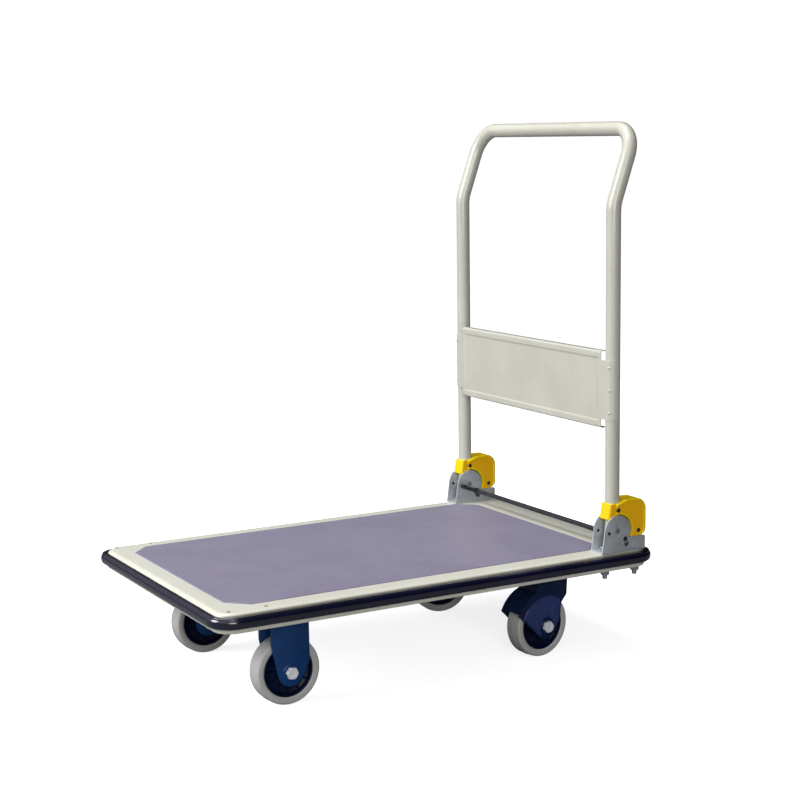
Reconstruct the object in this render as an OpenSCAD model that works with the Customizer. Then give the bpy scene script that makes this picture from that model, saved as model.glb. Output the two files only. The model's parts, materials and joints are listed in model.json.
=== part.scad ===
// Folding platform cart: a pressed steel deck on two fixed and two swivel casters,
// with a push handle that folds down onto the deck when a foot presses the release rod.
// +X points to the handle end, -Y to the left side of someone pushing, +Z up.
// The origin is on the floor under the middle of the deck.

/* [Deck] */
// Length of the pressed deck, without its bumper
deck_length = 720; // [640:1:900]
// Width of the pressed deck, without its bumper
deck_width = 460; // [400:1:600]
// Corner radius of the deck in plan
deck_corner_r = 28; // [24:1:50]
// Thickness of the deck sheet
deck_sheet = 2; // [1.5:0.1:3]
// Outside radius of the deck's rolled top edge
deck_roll_r = 9; // [6:0.5:12]
// Depth of the deck's skirt, from its top face to the foot of its lip
deck_skirt = 28; // [24:1:40]
// Width of the lip turned inwards at the foot of the skirt
deck_lip = 6; // [5:0.5:9]

/* [Mat and bumper] */
// Bare border in front of the mat
mat_front_border = 31; // [20:1:60]
// Bare border at each side of the mat
mat_side_border = 34.6; // [20:0.1:60]
// Bare border behind the mat, where the hinge brackets stand
mat_rear_border = 65; // [60:1:90]
// Length of the cut across each corner of the mat
mat_corner_cut = 28; // [10:1:50]
// Thickness of the vinyl mat
mat_thickness = 1.6; // [1:0.1:3]
// How far the bumper stands out of the skirt
bumper_out = 10; // [8:0.5:16]
// Height of the bumper
bumper_height = 16.5; // [14:0.5:18]
// Height of the bumper's foot above the foot of the lip
bumper_rise = 7.1; // [3:0.1:9]

/* [Casters] */
// Diameter of every wheel over its tyre
wheel_d = 100; // [80:1:125]
// Width of the tyre
tyre_width = 30; // [24:1:36]
// Diameter of the hub where the tyre is seated on it
hub_d = 79; // [60:1:90]
// Diameter of the axle bolts
axle_bolt_d = 10; // [8:1:12]
// Free height over the tyre, up to the yoke's crown
tyre_headroom = 20; // [16:1:30]
// Free width between the tyre and each fork leg
tyre_side_gap = 4; // [3:0.5:6]
// Thickness of the fork and yoke sheet
fork_sheet = 3; // [2.5:0.1:4]
// Height of the ball race stack between the crown and the mounting plate
race_height = 19.3; // [18:0.1:24]
// Thickness of the caster mounting plates
plate_sheet = 3; // [2.5:0.1:5]
// Length of the caster mounting plates, along the deck
plate_length = 90; // [86:1:100]
// Width of the caster mounting plates, across the deck
plate_width = 86; // [84:1:100]
// Horizontal distance from the swivel axis to the rear axle
caster_trail = 26; // [20:1:34]
// Diameter of the king pin of a swivel caster
kingpin_d = 12; // [10:1:14]
// Angle at which the left swivel caster stands
left_swivel_angle = 7; // [-30:1:30]
// Angle at which the right swivel caster stands
right_swivel_angle = -12; // [-30:1:30]
// Distance from the front end of the deck to the front axle
front_axle_inset = 131.7; // [110:0.1:160]
// Distance from the rear end of the deck to the swivel axes
swivel_inset = 131.2; // [130:0.1:170]
// Distance from the side of the deck to the middle of a front wheel
front_wheel_inset = 83.2; // [80:0.1:110]
// Distance from the side of the deck to a swivel axis
swivel_side_inset = 86; // [84:0.1:110]
// Depth of the cross stiffeners under the deck
stiffener_depth = 19; // [15:0.5:25]

/* [Handle] */
// Diameter of the handle tube
tube_d = 22; // [19:0.1:28]
// Wall of the handle tube
tube_wall = 1.5; // [1.2:0.1:2.5]
// Distance from the rear end of the deck to the handle posts
post_inset_x = 62.7; // [58:0.1:80]
// Distance from the side of the deck to the handle posts
post_inset_y = 17; // [16:0.1:40]
// Height of the hinge axis above the deck
pivot_rise = 32.7; // [30:0.1:40]
// Height of the bend of the posts above the hinge axis
bend_rise = 492; // [400:1:600]
// Height of the handle bar above the hinge axis
bar_rise = 604; // [540:1:760]
// Angle at which the upper part of the handle leans back
lean_angle = 19.5; // [0.5:0.5:30]
// Bend radius of the post bend, at the middle of the tube
post_bend_r = 60; // [40:1:90]
// Bend radius of the upper corners, at the middle of the tube
corner_bend_r = 42; // [30:1:60]
// Height of the foot of the panel above the hinge axis
panel_rise = 156; // [100:1:200]
// Height of the panel
panel_height = 118; // [60:1:160]
// Thickness of the panel sheet
panel_sheet = 1.2; // [0.8:0.1:2]
// Depth of the panel's top and bottom flanges
panel_flange = 11; // [6:1:20]
// How much shorter the saddles on the posts are than the panel, at each end
saddle_step = 14; // [8:1:25]

/* [Hinge and release] */
// Thickness of the bracket sheet
bracket_sheet = 2; // [1.5:0.1:3]
// Side gap between the handle tube and the bracket's cheeks
cheek_gap = 2; // [1.5:0.1:4]
// Radius of the round top of the cheeks
cheek_r = 24; // [20:0.5:28]
// Diameter of the hinge pins
hinge_pin_d = 8; // [6:0.5:10]
// Diameter of the release rod
rod_d = 8; // [6:0.5:9]
// Travel of the release rod in its slots
rod_travel = 10; // [6:0.5:11]
// Wall of the yellow latch covers
cover_wall = 2; // [1.5:0.1:3]
// Running gap between a latch cover and the round top of the cheeks
cover_gap = 1.8; // [1:0.1:4]

/* [Hidden] */
$fn = 64;

// Colours
cream = [0.92, 0.92, 0.87];
navy = [0.07, 0.08, 0.22];
blue = [0.10, 0.24, 0.42];
zinc = [0.60, 0.63, 0.66];
grey_rubber = [0.56, 0.55, 0.53];
yellow = [0.97, 0.80, 0.05];
beige = [0.80, 0.80, 0.74];

// Clearances and small fits
touch = 0.02;          // sides of pieces that are fixed together
run = 0.05;            // pin in bush, sleeve in bearing
bolt_gap = 0.3;        // bolt in a plain hole
slide_gap = 0.3;       // rod in its slots

// Heights, from the floor up
axle_z = wheel_d / 2;
crown_z = wheel_d + tyre_headroom;
crown_top_z = crown_z + fork_sheet;
plate_z = crown_top_z + race_height;
plate_top_z = plate_z + plate_sheet;
deck_under_z = plate_top_z + stiffener_depth;
deck_top_z = deck_under_z + deck_sheet;
lip_z = deck_top_z - deck_skirt;
pivot_z = deck_top_z + pivot_rise;

// Places along and across the deck
front_x = front_axle_inset - deck_length / 2;
swivel_x = deck_length / 2 - swivel_inset;
front_y = deck_width / 2 - front_wheel_inset;
swivel_y = deck_width / 2 - swivel_side_inset;
post_x = deck_length / 2 - post_inset_x;
post_y = deck_width / 2 - post_inset_y;

// Hinge bracket, seen along the hinge axis with the axis at the origin
cheek_half = tube_d / 2 + cheek_gap;
cheek_out = cheek_half + bracket_sheet;
base_sheet = bracket_sheet + 0.5;
bracket_front = 28.8;
bracket_rear = 51.7;
foot_top = -11.5;
// The rod runs along Y, and its slots lead down and back
rod_x = 12.2;
rod_z = -13;
slot_angle = -60;
// Bracket bolts
bracket_bolt_d = 8;
bracket_bolt_front = -13.3;
bracket_bolt_rear = 42.7;
support_wall = 2;
hex_head = 5.3;
hex_nut = 6.5;
hex_flats = 13;
bolt_tail = 11;
// Foot of the tube, above the rod
tube_foot = -7.5;
bush_d = 12;

// Casters
hub_r = hub_d / 2;
leg_in = tyre_width / 2 + tyre_side_gap;
leg_out = leg_in + fork_sheet;
boss_out = leg_out + 2.5;
boss_r = 13;
leg_foot_r = 20;
sleeve_r = axle_bolt_d / 2 + 3;
bearing_r = sleeve_r + 4;
hub_bead_r = 3;
hub_boss_half = leg_in - 1;
caster_bolt_d = 8;
caster_bolt_x = plate_length / 2 - 10;
caster_bolt_y = plate_width / 2 - 10;
ball_r = 3;
ball_pitch_r = 20;
ball_count = 16;
race_r = 27;
race_gap = 2;
race_mid_z = crown_top_z + race_height / 2;
axle_head = 6.4;
axle_flats = 16;

// Point where the line from p touches a circle of radius r about the origin, on side +1 or -1
function tangent(p, r, side) =
    let (a = atan2(p[1], p[0]) + side * acos(r / norm(p)))
    [r * cos(a), r * sin(a)];

// Lays a profile that is drawn outwards and upwards round a rounded rectangle
module round_rim(length, width, r) {
    for (q = [0 : 3])
        translate([(q == 0 || q == 3 ? 1 : -1) * (length / 2 - r), (q < 2 ? 1 : -1) * (width / 2 - r), 0])
            rotate([0, 0, 90 * q])
                rotate_extrude(angle = 90)
                    translate([r, 0]) children();
    for (s = [0, 180])
        rotate([0, 0, s]) {
            translate([length / 2, width / 2 - r, 0])
                rotate([90, 0, 0])
                    linear_extrude(width - 2 * r) children();
            translate([length / 2 - r, -width / 2, 0])
                rotate([90, 0, -90])
                    linear_extrude(length - 2 * r) children();
        }
}

module round_plate(length, width, r, thickness) {
    linear_extrude(thickness) {
        square([length, width - 2 * r], center = true);
        square([length - 2 * r, width], center = true);
        for (x = [-1, 1], y = [-1, 1])
            translate([x * (length / 2 - r), y * (width / 2 - r)]) circle(r);
    }
}

module cylinder_y(r, from, to) {
    translate([0, to, 0]) rotate([90, 0, 0]) cylinder(r = r, h = to - from);
}

module hexagon(flats, height) {
    cylinder(d = flats / cos(30), h = height, $fn = 6);
}

// A side outline drawn as [x, z], given thickness along Y
module side_plate(from, to) {
    translate([0, to, 0]) rotate([90, 0, 0]) linear_extrude(to - from) children();
}

// ---- Deck ----

module rolled_edge() {
    intersection() {
        difference() {
            circle(deck_roll_r);
            circle(deck_roll_r - deck_sheet);
        }
        square(deck_roll_r);
    }
    translate([deck_roll_r - deck_sheet, deck_roll_r - deck_skirt])
        square([deck_sheet, deck_skirt - deck_roll_r]);
    translate([deck_roll_r - deck_lip - deck_sheet, deck_roll_r - deck_skirt])
        square([deck_lip + deck_sheet, deck_sheet]);
}

module deck_shell() {
    color(cream)
        difference() {
            union() {
                translate([0, 0, deck_top_z - deck_roll_r])
                    round_rim(deck_length - 2 * deck_roll_r, deck_width - 2 * deck_roll_r,
                        deck_corner_r - deck_roll_r)
                        rolled_edge();
                translate([0, 0, deck_under_z])
                    round_plate(deck_length - 2 * deck_roll_r, deck_width - 2 * deck_roll_r,
                        deck_corner_r - deck_roll_r, deck_sheet);
            }
            bracket_bolt_places()
                translate([0, 0, deck_under_z - 1])
                    cylinder(d = bracket_bolt_d + 2 * bolt_gap, h = deck_sheet + 2);
        }
}

module deck_mat() {
    x0 = mat_front_border - deck_length / 2;
    x1 = deck_length / 2 - mat_rear_border;
    y1 = deck_width / 2 - mat_side_border;
    c = mat_corner_cut;
    color([0.57, 0.55, 0.66])
        translate([0, 0, deck_top_z])
            linear_extrude(mat_thickness)
                polygon([
                    [x0 + c, -y1], [x1 - c, -y1], [x1, c - y1], [x1, y1 - c],
                    [x1 - c, y1], [x0 + c, y1], [x0, y1 - c], [x0, c - y1]
                ]);
}

// A D section whose inner face follows the skirt and the rolled edge
module bumper_section() {
    foot = deck_roll_r - deck_skirt + bumper_rise;
    nose_r = 7;
    difference() {
        union() {
            translate([deck_roll_r, foot]) square([bumper_out - nose_r, bumper_height]);
            translate([deck_roll_r, foot + nose_r])
                square([bumper_out, bumper_height - 2 * nose_r]);
            for (z = [nose_r, bumper_height - nose_r])
                translate([deck_roll_r + bumper_out - nose_r, foot + z]) circle(nose_r);
            translate([deck_roll_r - 3, foot + 12]) square([4, bumper_height - 12]);
        }
        circle(deck_roll_r + touch);
        translate([0, -deck_skirt]) square([deck_roll_r + touch, deck_skirt]);
    }
}

module bumper() {
    color(navy)
        translate([0, 0, deck_top_z - deck_roll_r])
            round_rim(deck_length - 2 * deck_roll_r, deck_width - 2 * deck_roll_r,
                deck_corner_r - deck_roll_r)
                bumper_section();
}

// Flat rivets along the border that hold the reinforcement under the deck
module deck_rivets() {
    side_inset = 15;
    color(zinc)
        for (y = [-1, 1], x = [18, 74])
            translate([x - deck_length / 2, y * (deck_width / 2 - side_inset), deck_top_z])
                cylinder(d = 5, h = 1);
}

// Hat section across the underside of the deck, which carries a pair of casters
module stiffener(x) {
    wall = 2.5;
    flange = 12;
    half = plate_length / 2;
    length = 2 * (post_y - cheek_out) - 4;
    color(cream)
        translate([x, 0, 0])
            difference() {
                union() {
                    translate([-half, -length / 2, plate_top_z]) cube([2 * half, length, wall]);
                    for (s = [-1, 1]) {
                        translate([s * (half - wall / 2) - wall / 2, -length / 2, plate_top_z])
                            cube([wall, length, stiffener_depth]);
                        translate([s * (half + flange / 2 - 1) - flange / 2, -length / 2,
                            deck_under_z - wall])
                            cube([flange, length, wall]);
                    }
                }
                for (y = [-1, 1])
                    translate([0, y * (x < 0 ? front_y : swivel_y), plate_top_z])
                        caster_bolt_spots()
                            translate([0, 0, -1])
                                cylinder(d = caster_bolt_d + 2 * bolt_gap, h = wall + 2);
            }
}

// ---- Hinge brackets ----

module at_post(side) {
    translate([post_x, side * post_y, pivot_z]) children();
}

module bracket_bolt_places() {
    for (side = [-1, 1], x = [bracket_bolt_front, bracket_bolt_rear])
        translate([post_x + x, side * post_y, 0]) children();
}

module bracket_supports() {
    length = bracket_rear + bracket_front - 8;
    inner = post_y - cheek_out;
    width = deck_width / 2 - deck_roll_r - inner;
    depth = deck_skirt - deck_sheet;
    rim = deck_sheet + deck_lip + slide_gap;
    color(cream)
        difference() {
            intersection() {
                for (m = [0, 1])
                    mirror([0, m, 0])
                        translate([post_x + bracket_rear - length, inner, lip_z])
                            difference() {
                                cube([length, width, depth]);
                                translate([-1, support_wall, support_wall])
                                    cube([length + 2, width - 2 * support_wall,
                                        depth - 2 * support_wall]);
                            }
                translate([0, 0, lip_z - 1])
                    round_plate(deck_length - 2 * rim, deck_width - 2 * rim, deck_corner_r - rim,
                        depth + 2);
            }
            bracket_bolt_places()
                translate([0, 0, lip_z - 1])
                    cylinder(d = bracket_bolt_d + 2 * bolt_gap, h = depth + 2);
        }
}

module cheek_outline() {
    base = -pivot_rise;
    front = [-bracket_front, base];
    circle(cheek_r);
    polygon([
        front, [bracket_rear, base], [bracket_rear, foot_top - 2], [bracket_rear - 2, foot_top],
        [0, foot_top], [0, 0], 0.9999 * tangent(front, cheek_r, -1)
    ]);
}

module rod_slot() {
    for (t = [0, rod_travel])
        translate([rod_x + t * cos(slot_angle), rod_z + t * sin(slot_angle)])
            circle(rod_d / 2 + slide_gap);
    translate([rod_x, rod_z])
        rotate([0, 0, slot_angle])
            translate([0, -rod_d / 2 - slide_gap])
                square([rod_travel, rod_d + 2 * slide_gap]);
}

module hinge_bracket(side) {
    color(zinc)
        difference() {
            at_post(side) {
                for (y = [-cheek_out, cheek_half])
                    side_plate(y, y + bracket_sheet)
                        difference() {
                            cheek_outline();
                            circle(hinge_pin_d / 2 + touch);
                            rod_slot();
                            translate([anchor_x, anchor_z]) circle(anchor_d / 2 + touch);
                        }
                translate([-bracket_front, -cheek_out, -pivot_rise])
                    cube([bracket_front + bracket_rear, 2 * cheek_out, base_sheet]);
            }
            bracket_bolt_places()
                translate([0, 0, deck_top_z - 1])
                    cylinder(d = bracket_bolt_d + 2 * bolt_gap, h = base_sheet + 2);
        }
}

module bracket_bolts() {
    head_z = deck_top_z + base_sheet;
    color(zinc)
        bracket_bolt_places() {
            translate([0, 0, head_z]) rotate([0, 0, 15]) hexagon(hex_flats, hex_head);
            translate([0, 0, lip_z - hex_nut - bolt_tail + 3])
                cylinder(d = bracket_bolt_d, h = head_z - lip_z + hex_nut + bolt_tail - 3);
        }
}

module bracket_nuts() {
    washer = 1.6;
    color(zinc)
        bracket_bolt_places()
            difference() {
                union() {
                    translate([0, 0, lip_z - washer]) cylinder(d = 16, h = washer);
                    translate([0, 0, lip_z - washer - hex_nut]) hexagon(hex_flats, hex_nut);
                }
                translate([0, 0, lip_z - hex_nut - washer - 1])
                    cylinder(d = bracket_bolt_d + 2 * touch, h = hex_nut + washer + 2);
            }
}

module pivot_pins() {
    color(zinc)
        for (side = [-1, 1])
            at_post(side) cylinder_y(hinge_pin_d / 2, -cheek_out, cheek_out);
}

// Rivets in the cheeks, which hold the front hooks of the springs
anchor_x = -16.3;
anchor_z = -2;
anchor_d = 5;
spring_y = 4.7;

module spring_anchors() {
    color(zinc)
        for (side = [-1, 1])
            at_post(side)
                translate([anchor_x, 0, anchor_z]) {
                    mirror([0, side > 0 ? 1 : 0, 0]) {
                        cylinder_y(anchor_d / 2, cheek_half, cheek_out + 2 * spring_y);
                        cylinder_y(anchor_d / 2 + 1, cheek_out + 2 * spring_y - 1.5,
                            cheek_out + 2 * spring_y);
                        cylinder_y(anchor_d / 2, -cheek_out - 1, -cheek_half);
                    }
                }
}

// Close-wound pull springs beside the inner cheeks, from the anchors to the rod
module release_springs() {
    dx = rod_x - anchor_x;
    dz = rod_z - anchor_z;
    reach = norm([dx, dz]);
    wire = 0.6;
    coil_r = 3;
    coils = 11;
    coil_start = 6;
    color([0.25, 0.26, 0.28])
        for (side = [-1, 1])
            at_post(side)
                translate([anchor_x, -side * (cheek_out + spring_y), anchor_z])
                    rotate([0, atan2(-dz, dx), 0])
                        rotate([0, 90, 0]) {
                            translate([0, 0, coil_start])
                                rotate_extrude() {
                                    for (i = [0 : coils])
                                        translate([coil_r, 2 * wire * 0.96 * i]) circle(wire, $fn = 24);
                                    translate([coil_r - 0.3, 0])
                                        square([0.6, 2 * wire * 0.96 * coils]);
                                }
                            spring_eye(0, anchor_d / 2 + touch, coil_start, wire, coil_r);
                            translate([0, 0, reach]) mirror([0, 0, 1])
                                spring_eye(0, rod_d / 2 + 0.1, reach - coil_start
                                    - 2 * wire * 0.96 * coils, wire, coil_r);
                        }
}

// The hook at the end of a spring: an eye about the pin and a shank to the first coil
module spring_eye(at, pin_r, shank, wire, coil_r) {
    rotate([90, 0, 0])
        rotate_extrude() translate([pin_r + wire, 0]) circle(wire, $fn = 24);
    translate([0, 0, pin_r + wire]) cylinder(r = wire, h = shank - pin_r - wire);
    translate([0, 0, shank - wire]) cylinder(r = coil_r, h = 2 * wire);
}

// ---- Casters ----

module caster_bolt_spots() {
    for (x = [-1, 1], y = [-1, 1])
        translate([x * caster_bolt_x, y * caster_bolt_y, 0]) children();
}

module caster_places() {
    for (y = [-1, 1]) {
        translate([front_x, y * front_y, 0]) children();
        translate([swivel_x, y * swivel_y, 0]) children();
    }
}

module caster_plate() {
    difference() {
        translate([0, 0, plate_z]) round_plate(plate_length, plate_width, 6, plate_sheet);
        caster_bolt_spots()
            translate([0, 0, plate_z - 1])
                cylinder(d = caster_bolt_d + 2 * bolt_gap, h = plate_sheet + 2);
    }
}

// Leg of a fixed fork, seen along the axle with the axle at the origin
module fork_leg_outline() {
    half = 29.5;
    knee = wheel_d / 2 - 7;
    rear_knee = 14;
    difference() {
        union() {
            circle(leg_foot_r);
            polygon([
                [-half, plate_z - axle_z + 0.5], [half, plate_z - axle_z + 0.5], [half, rear_knee],
                tangent([half, rear_knee], leg_foot_r, -1),
                tangent([-half, knee], leg_foot_r, 1), [-half, knee]
            ]);
        }
        circle(axle_bolt_d / 2 + bolt_gap);
    }
}

module fixed_fork(side) {
    color(blue)
        translate([front_x, side * front_y, 0]) {
            caster_plate();
            translate([0, 0, axle_z])
                for (y = [-leg_out, leg_in])
                    side_plate(y, y + fork_sheet) fork_leg_outline();
        }
}

module at_front_axle(side) {
    translate([front_x, side * front_y, axle_z]) children();
}

module at_swivel(side) {
    translate([swivel_x, side * swivel_y, 0])
        rotate([0, 0, side < 0 ? left_swivel_angle : right_swivel_angle])
            children();
}

module at_rear_axle(side) {
    at_swivel(side) translate([-caster_trail, 0, axle_z]) children();
}

// Head on the outer side of the fork, thread through to the inner side
module axle_bolt(side, face) {
    color(zinc)
        mirror([0, side > 0 ? 1 : 0, 0]) {
            cylinder_y(axle_bolt_d / 2, -face, face + 11);
            translate([0, -face, 0]) rotate([90, 0, 0]) hexagon(axle_flats, axle_head);
        }
}

module axle_nut(side, face) {
    color(zinc)
        mirror([0, side > 0 ? 1 : 0, 0])
            translate([0, face + 8.4, 0])
                rotate([90, 0, 0])
                    difference() {
                        hexagon(axle_flats, 8.4);
                        translate([0, 0, -1]) cylinder(d = axle_bolt_d + 2 * touch, h = 11);
                    }
}

module axle_sleeve() {
    color(zinc)
        difference() {
            cylinder_y(sleeve_r, -leg_in, leg_in);
            cylinder_y(axle_bolt_d / 2 + 0.1, -leg_in - 1, leg_in + 1);
        }
}

module bearing() {
    half = hub_boss_half - 1;
    color([0.3, 0.3, 0.32])
        difference() {
            cylinder_y(bearing_r, -half, half);
            cylinder_y(sleeve_r + run, -half - 1, half + 1);
        }
}

module hub_section() {
    rim = tyre_width / 2 - 2;
    difference() {
        union() {
            translate([bearing_r + touch, -hub_boss_half])
                square([4, 2 * hub_boss_half]);
            translate([bearing_r + touch, -4]) square([hub_r - bearing_r - 1, 8]);
            translate([hub_r - 4, -rim]) square([4, 2 * rim]);
        }
        translate([hub_r, 0]) circle(hub_bead_r);
    }
}

module hub() {
    color([0.08, 0.09, 0.16])
        rotate([90, 0, 0]) rotate_extrude($fn = 96) hub_section();
}

module tyre_section() {
    half = tyre_width / 2;
    shoulder = 4;
    outer = wheel_d / 2;
    translate([hub_r + touch, -half + 1]) square([outer - hub_r - shoulder - touch, 2 * half - 2]);
    translate([hub_r + touch + 1, -half]) square([outer - hub_r - shoulder - touch - 1, 2 * half]);
    translate([outer - shoulder - 1, shoulder - half]) square([shoulder + 1, 2 * (half - shoulder)]);
    for (y = [-1, 1])
        translate([outer - shoulder, y * (half - shoulder)]) circle(shoulder);
    translate([hub_r, 0]) circle(hub_bead_r - 4 * touch);
}

module tyre() {
    color(grey_rubber)
        rotate([90, 0, 0]) rotate_extrude($fn = 96) tyre_section();
}

module caster_bolts() {
    color(zinc)
        caster_places()
            caster_bolt_spots() {
                translate([0, 0, plate_z - hex_head]) hexagon(hex_flats, hex_head);
                translate([0, 0, plate_z])
                    cylinder(d = caster_bolt_d, h = plate_sheet + 2.5 + hex_nut + 1);
            }
}

module caster_nuts() {
    color(zinc)
        caster_places()
            caster_bolt_spots()
                translate([0, 0, plate_top_z + 2.5])
                    difference() {
                        hexagon(hex_flats, hex_nut);
                        translate([0, 0, -1])
                            cylinder(d = caster_bolt_d + 2 * touch, h = hex_nut + 2);
                    }
}

// Ball groove as a ring about the swivel axis
module ball_groove() {
    translate([0, 0, race_mid_z])
        rotate_extrude() translate([ball_pitch_r, 0]) circle(ball_r + run);
}

module swivel_plate(side) {
    color(blue)
        translate([swivel_x, side * swivel_y, 0])
            difference() {
                union() {
                    caster_plate();
                    translate([0, 0, race_mid_z + race_gap / 2])
                        cylinder(r = race_r, h = plate_z - race_mid_z - race_gap / 2 + 1);
                }
                translate([0, 0, crown_z]) cylinder(d = kingpin_d + 2 * touch, h = 60);
                ball_groove();
            }
}

module kingpins() {
    head = 4;
    color(zinc)
        for (side = [-1, 1])
            translate([swivel_x, side * swivel_y, 0]) {
                translate([0, 0, crown_z - head - slide_gap])
                    cylinder(d = kingpin_d + 8, h = head);
                translate([0, 0, crown_z - 1])
                    cylinder(d = kingpin_d, h = plate_top_z - crown_z + 1);
            }
}

module swivel_balls() {
    color(zinc)
        for (side = [-1, 1], i = [0 : ball_count - 1])
            translate([swivel_x, side * swivel_y, race_mid_z])
                rotate([0, 0, 360 / ball_count * i])
                    translate([ball_pitch_r, 0, 0]) sphere(ball_r, $fn = 32);
}

// Leg of a swivel yoke with its hood over the tyre, the axle at the origin
module yoke_leg_outline() {
    top = crown_top_z - axle_z;
    hood_r = wheel_d / 2 + 8;
    tip = [-50, 21];
    front_knee = [28, 5];
    difference() {
        union() {
            circle(leg_foot_r);
            intersection() {
                circle(hood_r);
                polygon([
                    [0, top], [-60, top], [-60, 30], tip, tangent(tip, leg_foot_r, 1), [0, 0]
                ]);
            }
            polygon([
                [-18, hood_r - 6], [-14, top], [44, top], [42, top - 29], [31, top - 41],
                front_knee, tangent(front_knee, leg_foot_r, -1), [-8, 0], [-30, 40]
            ]);
        }
        circle(axle_bolt_d / 2 + bolt_gap);
    }
}

// Hood over the tyre and web up to the crown, as a side outline
module hood_outline() {
    top = crown_top_z - axle_z;
    hood_r = wheel_d / 2 + 8;
    intersection() {
        difference() {
            circle(hood_r);
            circle(hood_r - fork_sheet);
        }
        polygon([[0, 0], [-18, hood_r + 4], [-60, hood_r + 4], [-60, 31]]);
    }
    polygon([
        [-17.5, hood_r - fork_sheet - 0.5], [-17.5, hood_r - 2.7], [-14, top], [-10, top],
        [-13.5, hood_r - fork_sheet - 0.5]
    ]);
}

module yoke(side) {
    color(blue)
        difference() {
            union() {
                at_rear_axle(side) {
                    for (y = [-leg_out, leg_in])
                        side_plate(y, y + fork_sheet) yoke_leg_outline();
                    side_plate(-leg_in - 1, leg_in + 1) hood_outline();
                    for (y = [-1, 1])
                        translate([0, y * (leg_out + boss_out - 1) / 2, 0])
                            cylinder_y(boss_r, -(boss_out - leg_out + 1) / 2,
                                (boss_out - leg_out + 1) / 2);
                    translate([-14, -leg_in - 1, crown_z - axle_z])
                        cube([58, 2 * leg_in + 2, fork_sheet]);
                }
                at_swivel(side)
                    translate([0, 0, crown_top_z - 1])
                        cylinder(r = race_r, h = race_mid_z - race_gap / 2 - crown_top_z + 1);
            }
            at_swivel(side) {
                translate([0, 0, crown_z - 5]) cylinder(d = kingpin_d + 2 * run, h = 60);
                ball_groove();
            }
            at_rear_axle(side) cylinder_y(axle_bolt_d / 2 + bolt_gap, -boss_out - 1, boss_out + 1);
        }
}

// ---- Handle ----

// Cross-section of the tube, r outside and r_in inside
module tube_ring(r, r_in) {
    difference() {
        circle(r);
        circle(r_in);
    }
}

// One half of the bent tube, from the foot of its post to the middle of the bar
module half_handle(r, r_in, foot) {
    drop = post_bend_r * tan(lean_angle / 2);
    lean_length = (bar_rise - bend_rise) / cos(lean_angle);
    translate([0, 0, foot]) linear_extrude(bend_rise - drop - foot) tube_ring(r, r_in);
    translate([post_bend_r, 0, bend_rise - drop])
        rotate([90, 0, 0])
            rotate([0, 0, 180 - lean_angle])
                rotate_extrude(angle = lean_angle, $fn = 96)
                    translate([post_bend_r, 0]) tube_ring(r, r_in);
    translate([0, 0, bend_rise])
        rotate([0, lean_angle, 0]) {
            translate([0, 0, drop])
                linear_extrude(lean_length - corner_bend_r - drop) tube_ring(r, r_in);
            translate([0, corner_bend_r, lean_length - corner_bend_r])
                rotate([0, -90, 0])
                    rotate([0, 0, -90])
                        rotate_extrude(angle = 90, $fn = 96)
                            translate([corner_bend_r, 0]) tube_ring(r, r_in);
            translate([0, corner_bend_r, lean_length])
                rotate([-90, 0, 0])
                    linear_extrude(post_y - corner_bend_r) rotate(-90) tube_ring(r, r_in);
        }
}

module whole_handle(r, r_in, foot) {
    for (m = [0, 1])
        mirror([0, m, 0]) translate([post_x, -post_y, pivot_z]) half_handle(r, r_in, foot);
}

hook_sheet = 4;

module handle_tube() {
    color(beige)
        difference() {
            whole_handle(tube_d / 2, tube_d / 2 - tube_wall, tube_foot);
            for (side = [-1, 1])
                at_post(side) {
                    cylinder_y(bush_d / 2 + touch, -tube_d, tube_d);
                    translate([-tube_d, -hook_sheet / 2 - touch, tube_foot - 1])
                        cube([2 * tube_d, hook_sheet + 2 * touch, hook_top - tube_foot + 1 + touch]);
                }
        }
}

// Latch plate in the slotted foot of each post: a tooth above the rod is the back stop
hook_top = 14;
hook_reach = 21;

module hook_outline() {
    rod_reach = norm([rod_x, rod_z]);
    clear_r = rod_reach - rod_d / 2 - slide_gap;
    flank = atan2(rod_z, rod_x) + asin((rod_d / 2 + slide_gap) / rod_reach);
    difference() {
        union() {
            circle(clear_r);
            intersection() {
                circle(hook_reach);
                polygon([
                    [0, 0], 2 * hook_reach * [cos(flank), sin(flank)],
                    [2 * hook_reach, hook_top], [0, hook_top]
                ]);
            }
            translate([tube_wall / 2 - tube_d / 2, 0]) square([tube_d / 2, hook_top]);
        }
        circle(bush_d / 2 + touch);
        translate([rod_x, rod_z]) circle(rod_d / 2 + slide_gap);
    }
}

module hook_plates() {
    color(zinc)
        for (side = [-1, 1])
            at_post(side) side_plate(-hook_sheet / 2, hook_sheet / 2) hook_outline();
}

module pivot_bushes() {
    color(zinc)
        for (side = [-1, 1])
            at_post(side)
                difference() {
                    cylinder_y(bush_d / 2, -cheek_half + 0.2, cheek_half - 0.2);
                    cylinder_y(hinge_pin_d / 2 + run, -cheek_half - 1, cheek_half + 1);
                }
}

// Saddle: the end of the panel sheet wrapped round the front and outside of a post
module saddle() {
    translate([0, 0, panel_rise + saddle_step])
        rotate([0, 0, 180])
            rotate_extrude(angle = 100)
                translate([tube_d / 2 + touch, 0]) square([panel_sheet, panel_height - 2 * saddle_step]);
}

module handle_panel() {
    face_x = -tube_d / 2 - touch - panel_sheet;
    side_gap = 3;
    half = post_y - tube_d / 2 - side_gap;
    fold = panel_flange;
    color(beige)
        translate([post_x, 0, pivot_z]) {
            translate([face_x, -half, panel_rise]) cube([panel_sheet, 2 * half, panel_height]);
            translate([face_x, -post_y, panel_rise + saddle_step])
                cube([panel_sheet, 2 * post_y, panel_height - 2 * saddle_step]);
            for (z = [panel_rise, panel_rise + panel_height - panel_sheet])
                translate([face_x, -half, z]) cube([fold, 2 * half, panel_sheet]);
            for (m = [0, 1])
                mirror([0, m, 0]) translate([0, -post_y, 0]) saddle();
        }
}

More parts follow.
